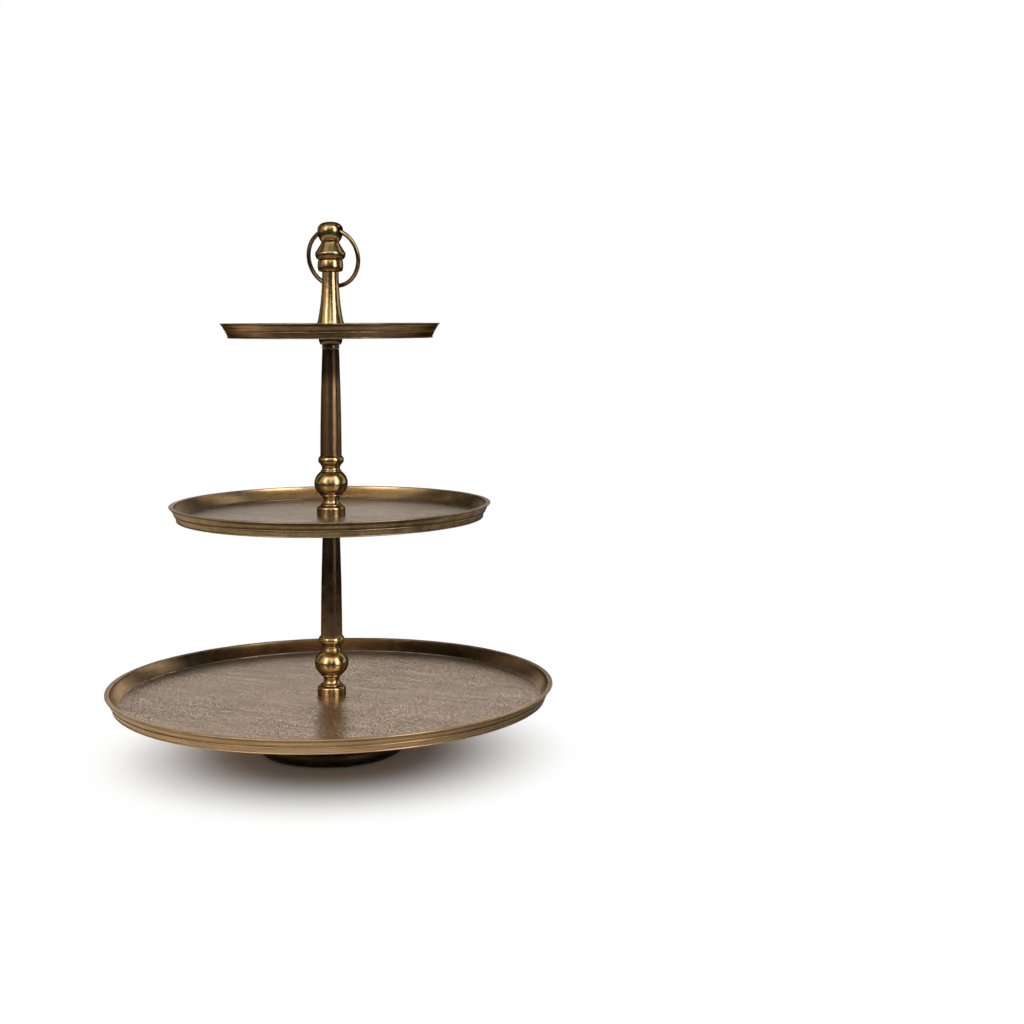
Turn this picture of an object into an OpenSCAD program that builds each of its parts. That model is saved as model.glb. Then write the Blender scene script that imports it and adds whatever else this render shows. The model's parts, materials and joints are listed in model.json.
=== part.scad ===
// Three-tier metal tray stand. Turned columns carry three round trays above a
// round foot, and a loose ring hangs through the ball of the finial.
// Z is up, and the origin is on the resting surface under the centre.

/* [Trays] */
// Diameter of the large tray over its lip
large_tray_d = 500; // [440:5:540]
// Diameter of the middle tray over its lip
middle_tray_d = 361; // [300:1:420]
// Diameter of the top tray over its lip
top_tray_d = 248; // [210:1:280]
// Height of a tray over all
tray_h = 17; // [15.5:0.5:20]
// Thickness of a tray floor
tray_floor_t = 3; // [2.5:0.1:4]
// Width of the flat top face of the lip
lip_w = 4.8; // [4:0.1:6]
// Thickness of the lip's outer edge
lip_t = 1.5; // [1.2:0.1:2]
// Depth of the groove below the lip, measured in from the lip
lip_groove = 1.9; // [1.2:0.1:2.4]
// Distance that the foot of the wall stands in from the lip
wall_rake = 9.2; // [8.2:0.1:10]
// Distance that the fillet between the two bands stands in from the lip
wall_step = 5.6; // [4.6:0.1:6.4]
// Height of the wall's lower band
wall_band_h = 6.8; // [5.5:0.1:7.5]
// Radius of the fillet between the two bands
wall_fillet_r = 0.6; // [0.4:0.1:0.8]
// Radius of the bead along the bottom edge of the wall
edge_bead_r = 0.9; // [0.7:0.1:1.1]
// Width of the cove from the lip down to the floor
cove_w = 9; // [8:0.1:12]
// Radius of the bead where the cove meets the floor
floor_bead_r = 1; // [0.6:0.1:1.4]
// Depth of the machined seat that centres a column on a tray floor
seat_depth = 0.5; // [0.3:0.1:1]
// Radial clearance of a column's base in its seat
seat_gap = 0.3; // [0.2:0.1:0.6]

/* [Foot] */
// Radius of the foot over its rounded flange
foot_r = 81; // [72:1:90]
// Height of the foot casting
foot_h = 58.5; // [48:0.5:70]
// Height of the rounded flange
foot_flange_h = 14.5; // [9:0.5:17]
// Width of the ledge on top of the flange
foot_ledge = 4.5; // [3:0.5:6]
// Radius of the foot at the narrow part of its cove
foot_neck_r = 62; // [56:1:66]
// Radius of the foot's top face under the large tray
foot_top_r = 68; // [66:1:72]
// Height of the straight band at the top of the foot
foot_top_band = 4; // [3:0.5:6]
// Thickness of the foot's top plate
foot_plate_t = 7; // [5:0.5:9]
// Wall thickness of the foot at its neck
foot_wall = 6; // [4:0.5:8]
// Width of the flat ring that the foot stands on
foot_rim_w = 18; // [16:0.5:20]
// Radius of a felt pad
pad_r = 6.5; // [5:0.5:7]
// Thickness of a felt pad
pad_t = 1.5; // [1:0.1:3]
// Number of felt pads
pad_count = 4; // [4]

/* [Columns] */
// Clear height from a tray floor to the tray above
tier_gap = 200; // [180:1:240]
// Radius of the baluster's base flange
flange_r = 16; // [14:0.1:18]
// Height of the base flange
flange_h = 10.4; // [8:0.1:13]
// Edge rounding of the base flange
flange_round = 3.2; // [0.6:0.1:4]
// Radius of the small rings that border the ball
ring_bead_r = 12.4; // [11.8:0.1:13]
// Height of each small ring
ring_bead_h = 1.8; // [1.4:0.1:2.2]
// Radius of the lower neck at its narrowest
lower_neck_r = 8.9; // [8:0.1:10]
// Height of the lower neck
lower_neck_h = 9.4; // [8:0.1:12]
// Radius of the ball
ball_r = 19; // [17:0.1:21]
// Height of the ball below its widest line
ball_low_h = 12.2; // [10:0.1:14]
// Height of the ball above its widest line
ball_high_h = 13.3; // [11:0.1:15]
// Radius of the upper neck at its narrowest
upper_neck_r = 10.3; // [9:0.1:11]
// Height of the upper neck
upper_neck_h = 7.4; // [6.5:0.1:11]
// Radius of the collar
collar_r = 14.6; // [13.5:0.05:15.2]
// Height of the collar
collar_h = 8; // [7:0.1:10]
// Radius of the shaft at its foot
shaft_low_r = 12.15; // [11.5:0.05:12.8]
// Radius of the shaft at its top
shaft_high_r = 9.65; // [9.2:0.05:10.2]
// Radius of the bore through the shaft
shaft_bore_r = 6.5; // [6:0.1:7]
// Radius of the capital at its widest
capital_r = 13.5; // [12.5:0.1:14.5]
// Radius of the capital's plain neck
capital_neck_r = 9.75; // [9.3:0.05:10.2]
// Height of the capital
capital_h = 12; // [10:0.1:15]
// Length of the spigots that centre the shaft
spigot_h = 5; // [4:0.5:8]

/* [Finial] */
// Radius of the finial's base at its floor line
finial_foot_r = 15.9; // [15:0.1:17]
// Radius of the finial's base at its widest
finial_base_r = 17.9; // [17.2:0.1:19]
// Height of the widest line of the base
finial_base_h = 8.8; // [7:0.1:10]
// Radius of the trumpet stem just above its base
stem_low_r = 14.4; // [13:0.1:15]
// Radius of the stem under the knob
stem_high_r = 9.55; // [8.6:0.05:10]
// Height at which the trumpet stem begins
stem_start_h = 17; // [15:0.5:19]
// Length of the trumpet stem
stem_h = 55; // [50:0.5:66]
// Radius of the lower bead of the knob
low_bead_r = 14.6; // [14:0.1:15.5]
// Height of the lower bead
low_bead_h = 13.3; // [9:0.1:15]
// Radius of the upper bead of the knob
high_bead_r = 17.4; // [16.2:0.1:18]
// Height of the upper bead from the waist to its rim
high_bead_h = 8; // [7:0.1:11]
// Height of the cone from the rim of the upper bead to the neck
knob_cone_h = 12.4; // [11:0.1:16]
// Radius of the knob's neck under the ball
knob_neck_r = 10.1; // [9.5:0.1:11]
// Radius of the finial's ball
knob_ball_r = 14.7; // [14:0.1:16]
// Height of the ball from its neck to its widest line
knob_ball_low_h = 12.5; // [10:0.1:14]
// Height of the ball above its widest line
knob_ball_high_h = 10.6; // [9.5:0.1:13]

/* [Ring] */
// Radius of the ring to the middle of its wire
ring_r = 32.5; // [31:0.5:36]
// Radius of the ring's wire
wire_r = 2.5; // [2:0.1:2.6]
// Clearance around the wire in the hole through the ball
hole_gap = 0.4; // [0.3:0.05:1]
// Gap between the resting ring and the stem
rest_gap = 0.3; // [0.2:0.05:0.6]

/* [Fasteners] */
// Radius of the base bolt and the tie rods
rod_r = 4; // [3:0.5:5]
// Radial clearance of a rod in a threaded bore
thread_gap = 0.1; // [0.05:0.05:0.2]
// Radial clearance of a rod in a plain hole
rod_gap = 0.3; // [0.2:0.1:0.6]
// Radial clearance of a spigot in the shaft
spigot_gap = 0.15; // [0.1:0.05:0.3]
// Length of thread that a rod holds in each piece
thread_hold = 14; // [10:0.5:16]
// Depth of a threaded bore past the end of its rod
bore_relief = 2; // [1:0.5:3]
// Width of the bolt head across its flats
head_w = 13; // [10:0.5:17]
// Height of the bolt head
head_h = 5.3; // [4:0.1:6.5]
// Radius of the base washer
washer_r = 12; // [11:0.5:16]
// Thickness of the base washer
washer_t = 2; // [1.2:0.1:3]

/* [Hidden] */
$fn = 96;

// Colours of the metals and the felt
antique = [0.52, 0.43, 0.32];
dark_antique = [0.33, 0.26, 0.18];
polished = [0.72, 0.58, 0.36];
steel = [0.62, 0.63, 0.65];
felt = [0.13, 0.12, 0.11];

// Height of the groove under the lip
wall_groove_h = 0.8;
// Edge left between the cyma and the groove
cyma_edge = 0.25;
// Height of the wall's bottom bead in radii of that bead
edge_bead_rise = 2.2;
// Share of the cyma's width by which it swells above and sinks below
cyma_swell = 0.06;
// Power of the cove's curve, steep at the lip and flat at the floor
cove_power = 1.35;
// Steps of each arc along an outline
arc_steps = 8;
// Small overrun that lets a cut clear a face
past = 1;
// Chamfer that marks the joint between two turned pieces
seam = 0.4;
// Angle by which the coves of the foot and the capital stop short of level
lip_angle = 5;
// Angle on either side of its middle that the collar's curve runs through
collar_angle = 75;
// Share of the upper neck that lies below its narrowest line
neck_share = 0.35;
// Height of the fillet ring between the collar and the shaft
collar_fillet_h = 1;
// Height of the ring at the foot of the capital
capital_ring_h = 1.6;
// Height of the capital's flared echinus
echinus_h = 6.8;
// Height of the edge above the echinus
abacus_h = 1.1;
// Powers of the curves that shape the shaft, the necks, the finial's base, its stem and its cone
entasis = 1.7;
hollow_power = 0.75;
flare_power = 1.6;
shoulder_power = 0.7;
trumpet_power = 2.2;
cone_power = 1.08;
// Step between the stem and the shoulder of the knob
knob_shoulder = 2.4;
// Depth of the waist between the two beads of the knob
waist_depth = 1.15;
// Share of the lower bead's height that lies below its widest line
low_bead_share = 0.471;
// Power that flattens the top of the finial's ball, where 1 leaves an ellipse
ball_top_power = 0.833;

// Depth of the foot's rounded edge, and the circle through the middle of its flat ring
foot_edge_d = foot_flange_h / 4;
pad_circle_r = foot_r - (foot_rim_w + foot_edge_d) / 2;

// Heights of the trays and of the pieces between them
large_tray_z = pad_t + foot_h;
large_floor_z = large_tray_z + tray_floor_t;
middle_tray_z = large_floor_z + tier_gap;
middle_floor_z = middle_tray_z + tray_floor_t;
top_tray_z = middle_floor_z + tier_gap;
top_floor_z = top_tray_z + tray_floor_t;

// Heights within a baluster
ball_z = flange_h + ring_bead_h + lower_neck_h + ring_bead_h + ball_low_h;
upper_neck_z = ball_z + ball_high_h + ring_bead_h;
collar_z = upper_neck_z + upper_neck_h;
baluster_h = collar_z + collar_h + collar_fillet_h;
shaft_h = tier_gap - baluster_h - capital_h;

// Heights within the finial
knob_z = stem_start_h + stem_h;
waist_z = knob_z + low_bead_h;
rim_z = waist_z + high_bead_h;
knob_neck_z = rim_z + knob_cone_h;
knob_ball_z = knob_neck_z + knob_ball_low_h;

// Fits of the rods
thread_r = rod_r + thread_gap;
plain_hole_r = rod_r + rod_gap;
spigot_r = shaft_bore_r - spigot_gap;
thread_depth = thread_hold + bore_relief;

// The wire curves inside the straight hole, by this much from its middle to its mouths
wire_sag = ring_r - sqrt(ring_r * ring_r - knob_ball_r * knob_ball_r);
ring_hole_r = wire_r + wire_sag / 2 + hole_gap;
ring_drop = 2 * ring_r - wire_sag / 2;
hinge_z = top_floor_z + knob_ball_z;

// Angle at which the wire's lowest turn rests against the back of the stem
touch_r = stem_radius(knob_ball_z - ring_drop);
ring_lean = asin((touch_r + wire_r + rest_gap) / ring_drop);

// Points of an elliptic arc about (cr, cz), in degrees
function arc(cr, cz, ar, az, from, to, steps = arc_steps) = [
    for (i = [0 : steps])
        let (t = from + (to - from) * i / steps)
        [cr + ar * cos(t), cz + az * sin(t)]
];

// Half-round bead that stands out to radius r between two heights
function bead(r, z0, z1) = arc(r - (z1 - z0) / 2, (z0 + z1) / 2, (z1 - z0) / 2, (z1 - z0) / 2, -90, 90);

// Ball outline below or above its widest line, cut off at radius cut
function ball_low(r, cut, z, h) = arc(0, z, r, h / sin(acos(cut / r)), -acos(cut / r), 0);
function ball_high(r, cut, z, h) = arc(0, z, r, h / sin(acos(cut / r)), 0, acos(cut / r));

// Radius of the trumpet stem at a height above the top tray's floor
function stem_radius(h) =
    stem_high_r + (stem_low_r - stem_high_r) * pow(max(0, knob_z - h) / stem_h, trumpet_power);

// Radius of the upper neck, where t runs from 0 at its foot to 1 under the collar
function neck_radius(t, low, high) =
    t < neck_share
    ? upper_neck_r + (low - upper_neck_r) * pow(1 - t / neck_share, 2)
    : upper_neck_r + (high - upper_neck_r) * pow((t - neck_share) / (1 - neck_share), flare_power);

module turned(outline) {
    rotate_extrude() polygon(outline);
}

// Round bore along the axis
module bore(r, z0, z1) {
    translate([0, 0, z0]) cylinder(r = r, h = z1 - z0);
}

// Outline of a tray: lower band, fillet, cyma, lip, cove and the bead at the edge of the floor
function tray_outline(r) =
    let (
        foot = r - wall_rake,
        fillet = r - wall_step - wall_fillet_r,
        fillet_z = wall_band_h + wall_fillet_r,
        cyma_z = fillet_z + wall_fillet_r,
        groove_z = tray_h - lip_t - wall_groove_h,
        edge = lip_t / 2,
        cove_top = tray_h - edge,
        cove_h = cove_top - tray_floor_t - floor_bead_r,
        cove_foot = r - lip_w - cove_w
    )
    concat(
        [[0, 0]],
        arc(foot, edge_bead_r, edge_bead_r, edge_bead_r, -90, 60, 5),
        [[foot + wall_fillet_r, edge_bead_rise * edge_bead_r],
         [fillet - wall_fillet_r, wall_band_h - wall_fillet_r]],
        arc(fillet, fillet_z, wall_fillet_r, wall_fillet_r, -90, 90, 5),
        [for (i = [0 : 8]) let (t = i / 8)
            [fillet + (r - lip_groove + 2 * cyma_edge - fillet) * (t + cyma_swell * sin(360 * t)),
             cyma_z + (groove_z - cyma_z) * t]],
        [[r - lip_groove, groove_z + cyma_edge], [r - lip_groove, tray_h - lip_t - cyma_edge / 2]],
        arc(r - edge, tray_h - edge, edge, edge, -90, 90, 6),
        arc(r - lip_w, tray_h - edge, edge, edge, 90, 180, 3),
        [for (i = [1 : 9]) let (t = i / 9)
            [r - lip_w - edge - (cove_w - edge) * pow(t, cove_power), cove_top - cove_h * t]],
        arc(cove_foot - floor_bead_r, tray_floor_t, floor_bead_r, floor_bead_r, 60, 180, 5),
        [[0, tray_floor_t]]
    );

module tray(r, seat_r) {
    difference() {
        turned(tray_outline(r));
        bore(plain_hole_r, -past, tray_h);
        bore(seat_r + seat_gap, tray_floor_t - seat_depth, tray_h);
    }
}

// Felt pad number i, counted round the foot
module foot_pad(i) {
    angle = 45 + i * 360 / pad_count;
    color(felt) rotate([0, 0, angle]) translate([pad_circle_r, 0, 0]) cylinder(r = pad_r, h = pad_t);
}

function foot_outline() =
    let (
        low = pad_t,
        flange_top = low + foot_flange_h,
        ledge_r = foot_r - foot_ledge,
        band_z = large_tray_z - foot_top_band,
        mid_z = (flange_top + band_z) / 2,
        half = (band_z - flange_top) / 2
    )
    concat(
        [[0, low]],
        arc(foot_r - foot_edge_d, low + foot_flange_h / 2, foot_edge_d, foot_flange_h / 2, -90, 90, 10),
        [[ledge_r, flange_top]],
        arc(ledge_r, mid_z, ledge_r - foot_neck_r, half, 270 - lip_angle, 180, 6),
        arc(foot_top_r - seam, mid_z, foot_top_r - seam - foot_neck_r, half,
            180 - 2 * lip_angle, 90 + lip_angle, 6),
        [[foot_top_r, band_z], [foot_top_r, large_tray_z - seam], [foot_top_r - seam, large_tray_z],
         [0, large_tray_z]]
    );

module foot() {
    rim_r = foot_r - foot_rim_w;
    inner_r = foot_neck_r - foot_wall;
    roof_z = large_tray_z - foot_plate_t;
    color(dark_antique) difference() {
        turned(foot_outline());
        turned([[0, -past], [rim_r, -past], [rim_r, pad_t + foot_flange_h / 2],
                [inner_r, pad_t + foot_flange_h * 1.5], [inner_r, roof_z - foot_wall],
                [inner_r - foot_wall, roof_z], [0, roof_z]]);
        bore(plain_hole_r, roof_z - past, large_tray_z + past);
    }
}

module base_washer() {
    color(steel) translate([0, 0, large_tray_z - foot_plate_t - washer_t]) difference() {
        cylinder(r = washer_r, h = washer_t);
        bore(plain_hole_r, -past, washer_t + past);
    }
}

// Hexagon bolt that rises through the foot and the large tray into the column
module base_bolt() {
    seat_z = large_tray_z - foot_plate_t - washer_t;
    corner_r = head_w / 2 / cos(30);
    color(steel) union() {
        intersection() {
            translate([0, 0, seat_z - head_h]) cylinder(r = corner_r, h = head_h, $fn = 6);
            turned([[0, seat_z - head_h], [head_w / 2, seat_z - head_h],
                    [corner_r + seam, seat_z - head_h * 0.8], [corner_r + seam, seat_z], [0, seat_z]]);
        }
        turned([[0, seat_z - seam], [rod_r, seat_z - seam], [rod_r, large_floor_z + thread_hold - seam],
                [rod_r - seam, large_floor_z + thread_hold], [0, large_floor_z + thread_hold]]);
    }
}

module tray_large() {
    color(antique) translate([0, 0, large_tray_z]) tray(large_tray_d / 2, flange_r);
}

module tray_middle() {
    color(antique) translate([0, 0, middle_tray_z]) tray(middle_tray_d / 2, flange_r);
}

module tray_top() {
    color(antique) translate([0, 0, top_tray_z]) tray(top_tray_d / 2, finial_base_r);
}

// Outline of a baluster: flange, lower neck, ball between two rings, upper neck and collar
function baluster_outline() =
    let (
        neck_foot_z = flange_h + ring_bead_h,
        ball_foot_z = neck_foot_z + lower_neck_h,
        ball_top_z = ball_z + ball_high_h,
        edge_r = ring_bead_r - ring_bead_h / 2,
        round_r = min(flange_round, flange_r - edge_r),
        top_ring_r = (upper_neck_r + ring_bead_r) / 2 + ring_bead_h / 3,
        collar_in_r = shaft_low_r + seam / 2,
        collar_mid_z = collar_z + collar_h / 2,
        top_z = baluster_h
    )
    concat(
        [[0, -seat_depth], [flange_r - seam, -seat_depth], [flange_r, seam - seat_depth]],
        arc(flange_r - round_r, flange_h - round_r, round_r, round_r, 0, 90, 7),
        bead(ring_bead_r, flange_h, neck_foot_z),
        [for (i = [1 : 9]) let (t = i / 10)
            [edge_r - (edge_r - lower_neck_r) * pow(sin(180 * t), hollow_power),
             neck_foot_z + lower_neck_h * t]],
        bead(ring_bead_r, ball_foot_z, ball_foot_z + ring_bead_h),
        ball_low(ball_r, ring_bead_r, ball_z, ball_low_h),
        ball_high(ball_r, ring_bead_r, ball_z, ball_high_h),
        bead(top_ring_r, ball_top_z, upper_neck_z),
        [for (i = [0 : 10]) let (t = i / 10)
            [neck_radius(t, top_ring_r - ring_bead_h / 2, collar_in_r + seam),
             upper_neck_z + upper_neck_h * t]],
        arc(collar_in_r, collar_mid_z, collar_r - collar_in_r, collar_h / 2, -collar_angle, collar_angle, 9),
        [[collar_in_r + seam, collar_z + collar_h], [collar_in_r + seam, top_z - seam],
         [collar_in_r, top_z], [0, top_z]]
    );

module baluster() {
    difference() {
        union() {
            turned(baluster_outline());
            bore(spigot_r, baluster_h - past, baluster_h + spigot_h);
        }
        bore(thread_r, -past, thread_depth);
        bore(thread_r, baluster_h - thread_depth, baluster_h + spigot_h + past);
    }
}

// Tapered tube that swells slightly below its middle
module shaft() {
    low = shaft_low_r;
    difference() {
        turned(concat(
            [[0, 0], [low - seam, 0]],
            [for (i = [0 : 10]) let (t = i / 10)
                [low - (low - shaft_high_r) * pow(t, entasis), seam + (shaft_h - 2 * seam) * t]],
            [[shaft_high_r - seam, shaft_h], [0, shaft_h]]
        ));
        bore(shaft_bore_r, -past, shaft_h + past);
    }
}

module capital() {
    flare_z = capital_h - abacus_h;
    difference() {
        union() {
            turned(concat(
                [[0, 0]],
                bead(capital_neck_r + seam, 0, capital_ring_h),
                [[capital_neck_r, capital_ring_h], [capital_neck_r, flare_z - echinus_h]],
                arc(capital_neck_r, flare_z, capital_r - capital_neck_r, echinus_h,
                    2 * lip_angle - 90, 0, 7),
                [[capital_r - seam, capital_h], [0, capital_h]]
            ));
            bore(spigot_r, -spigot_h, past);
        }
        bore(plain_hole_r, -spigot_h - past, capital_h + past);
    }
}

// Threaded rod that clamps one tier, from the baluster's top into the piece above the next tray
module tie_rod(floor_z) {
    low_z = floor_z + baluster_h - thread_hold;
    high_z = floor_z + tier_gap + tray_floor_t + thread_hold;
    turned([[0, low_z], [rod_r - seam, low_z], [rod_r, low_z + seam], [rod_r, high_z - seam],
            [rod_r - seam, high_z], [0, high_z]]);
}

module lower_baluster() {
    color(polished) translate([0, 0, large_floor_z]) baluster();
}

module lower_shaft() {
    color(dark_antique) translate([0, 0, large_floor_z + baluster_h]) shaft();
}

module lower_capital() {
    color(antique) translate([0, 0, middle_tray_z - capital_h]) capital();
}

module lower_tie_rod() {
    color(steel) tie_rod(large_floor_z);
}

module upper_baluster() {
    color(polished) translate([0, 0, middle_floor_z]) baluster();
}

module upper_shaft() {
    color(dark_antique) translate([0, 0, middle_floor_z + baluster_h]) shaft();
}

module upper_capital() {
    color(antique) translate([0, 0, top_tray_z - capital_h]) capital();
}

module upper_tie_rod() {
    color(steel) tie_rod(middle_floor_z);
}

// Outline of the finial: base, trumpet stem, two beads, cone, neck and ball
function finial_outline() =
    let (
        shoulder_r = stem_high_r + knob_shoulder,
        waist_r = low_bead_r - waist_depth,
        low_mid_z = knob_z + low_bead_h * low_bead_share,
        ball_top_z = knob_ball_z + knob_ball_high_h
    )
    concat(
        [[0, -seat_depth], [finial_base_r, -seat_depth], [finial_base_r, 0], [finial_foot_r, 0]],
        arc(finial_foot_r, finial_base_h, finial_base_r - finial_foot_r, finial_base_h - seam, -90, 0, 5),
        [for (i = [1 : 4]) let (t = i / 5)
            [finial_base_r - (finial_base_r - stem_low_r) * pow(t, shoulder_power),
             finial_base_h + (stem_start_h - finial_base_h) * t]],
        [for (i = [0 : 10]) let (h = stem_start_h + stem_h * i / 10) [stem_radius(h), h]],
        arc(shoulder_r, low_mid_z, low_bead_r - shoulder_r, low_mid_z - knob_z, -85, 0, 6),
        arc(waist_r, low_mid_z, low_bead_r - waist_r, waist_z - low_mid_z, 20, 90, 4),
        arc(waist_r, rim_z - seam, high_bead_r - waist_r, high_bead_h - 2 * seam, -70, 0, 7),
        [for (i = [1 : 8]) let (t = i / 9)
            [knob_neck_r + (high_bead_r - knob_neck_r) * pow(1 - t, cone_power),
             rim_z + (knob_cone_h - seam) * t]],
        [[knob_neck_r, knob_neck_z - seam]],
        ball_low(knob_ball_r, knob_neck_r, knob_ball_z, knob_ball_low_h),
        [for (i = [1 : 8]) let (t = 90 * i / 9)
            [knob_ball_r * pow(cos(t), ball_top_power),
             knob_ball_z + knob_ball_high_h * pow(sin(t), ball_top_power)]],
        [[0, ball_top_z]]
    );

module finial() {
    color(polished) translate([0, 0, top_floor_z]) difference() {
        turned(finial_outline());
        bore(thread_r, -past, thread_depth);
        translate([-knob_ball_r - past, 0, knob_ball_z]) rotate([0, 90, 0])
            cylinder(r = ring_hole_r, h = 2 * (knob_ball_r + past));
    }
}

// Loose ring, which leans back until its wire meets the stem
module ring() {
    color(polished) translate([0, 0, hinge_z]) rotate([ring_lean, 0, 0])
        translate([0, 0, wire_sag / 2 - ring_r]) rotate([90, 0, 0])
            rotate_extrude() translate([ring_r, 0]) circle(r = wire_r, $fn = 32);
}

foot_pad(0);  // foot_pad_1
foot_pad(1);  // foot_pad_2
foot_pad(2);  // foot_pad_3
foot_pad(3);  // foot_pad_4
foot();
base_washer();
base_bolt();
tray_large();
lower_baluster();
lower_tie_rod();
lower_shaft();
lower_capital();
tray_middle();
upper_baluster();
upper_tie_rod();
upper_shaft();
upper_capital();
tray_top();
finial();
ring();
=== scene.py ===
"""Looks of a three-tier tray stand in antique brass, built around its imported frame."""

import json
import logging
import math
from dataclasses import dataclass, replace
from enum import Enum
from functools import cache

import bpy
import numpy as np
from mathutils import Matrix, Vector


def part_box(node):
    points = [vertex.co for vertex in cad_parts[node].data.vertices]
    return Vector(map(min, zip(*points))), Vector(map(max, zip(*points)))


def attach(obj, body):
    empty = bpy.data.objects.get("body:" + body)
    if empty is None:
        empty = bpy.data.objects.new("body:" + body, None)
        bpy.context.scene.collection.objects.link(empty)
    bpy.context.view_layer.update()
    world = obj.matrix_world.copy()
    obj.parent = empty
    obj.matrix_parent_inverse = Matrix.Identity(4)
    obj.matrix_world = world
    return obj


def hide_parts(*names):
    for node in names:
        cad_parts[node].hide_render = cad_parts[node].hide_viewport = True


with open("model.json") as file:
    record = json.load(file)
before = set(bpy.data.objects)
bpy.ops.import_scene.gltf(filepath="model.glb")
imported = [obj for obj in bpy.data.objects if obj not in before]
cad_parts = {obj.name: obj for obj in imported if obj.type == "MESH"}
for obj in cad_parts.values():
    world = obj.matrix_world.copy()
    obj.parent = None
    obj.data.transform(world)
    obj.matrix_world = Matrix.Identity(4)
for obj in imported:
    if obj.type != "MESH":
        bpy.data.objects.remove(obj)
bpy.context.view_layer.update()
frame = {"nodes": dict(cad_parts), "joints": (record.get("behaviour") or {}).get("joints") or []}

LOG = logging.getLogger("tray_stand")
STAND = "stand"
HANDLE = "handle_ring"
MM = 0.001  # metres in a millimetre
FRONT = 25.0  # degrees from the stand's front to the camera's side
SEAM = 0.4  # millimetres of bevel on a turned edge
SAME = 0.02  # millimetres within which two points of an outline are one
SHORTEST = 1e-6  # millimetres of a segment that is drawn
GROWTH = 1.4  # growth of the spacing away from an end of a segment
SMOOTH_ANGLE = 32.0  # degrees up to which an edge is shaded smooth
WELD = 4e-6  # metres within which two vertices are one

Point = tuple[float, float]
Marks = tuple[tuple[float, float], ...]
Color = tuple[float, float, float]
Socket = bpy.types.NodeSocket

WHITE: Color = (1.0, 1.0, 1.0)


class Slot(Enum):
    """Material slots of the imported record."""

    TRAY = "tray_metal"
    FOOT = "foot_metal"
    TURNED = "turned_metal"
    SHAFT = "shaft_metal"
    FINIAL = "finial_metal"
    RING = "ring_brass"
    FASTENER = "fastener_steel"
    FELT = "felt"


class Layer(Enum):
    """Point attributes that the metals read."""

    CAVITY = "cavity"
    FLOOR = "floor_zone"
    # painted shade: darkens trays and shafts where shadow and dark reflections fall
    PAINTED_SHADE = "painted_shade"


# Outlines, in millimetres of radius and height


def arc(cr: float, cz: float, ar: float, az: float, start: float, end: float, steps: int = 24) -> list[Point]:
    """Points of an elliptic arc.

    Args:
        cr: Radius of the arc's centre.
        cz: Height of the arc's centre.
        ar: Half-width of the ellipse.
        az: Half-height of the ellipse.
        start: First angle in degrees.
        end: Last angle in degrees.
        steps: Number of segments.

    Returns:
        The points from the first angle to the last.
    """
    points = []
    for i in range(steps + 1):
        t = math.radians(start + (end - start) * i / steps)
        points.append((cr + ar * math.cos(t), cz + az * math.sin(t)))
    return points


def bead(r: float, low: float, high: float) -> list[Point]:
    """Half-round bead that stands out to radius r between two heights."""
    half = (high - low) / 2
    return arc(r - half, (low + high) / 2, half, half, -90, 90, 10)


def ball_part(r: float, cut: float, z: float, height: float, upper: bool) -> list[Point]:
    """Outline of a ball's lower or upper part.

    Args:
        r: Radius at the widest line.
        cut: Radius at which the ball is cut off.
        z: Height of the widest line.
        height: Distance from the widest line to the cut.
        upper: True for the part above the widest line.

    Returns:
        The points from bottom to top.
    """
    angle = math.degrees(math.acos(cut / r))
    rise = height / math.sin(math.radians(angle))
    return arc(0, z, r, rise, 0, angle) if upper else arc(0, z, r, rise, -angle, 0)


def shares(count: int, first: int = 0) -> list[float]:
    """Even shares from first/count to 1."""
    return [i / count for i in range(first, count + 1)]


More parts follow.
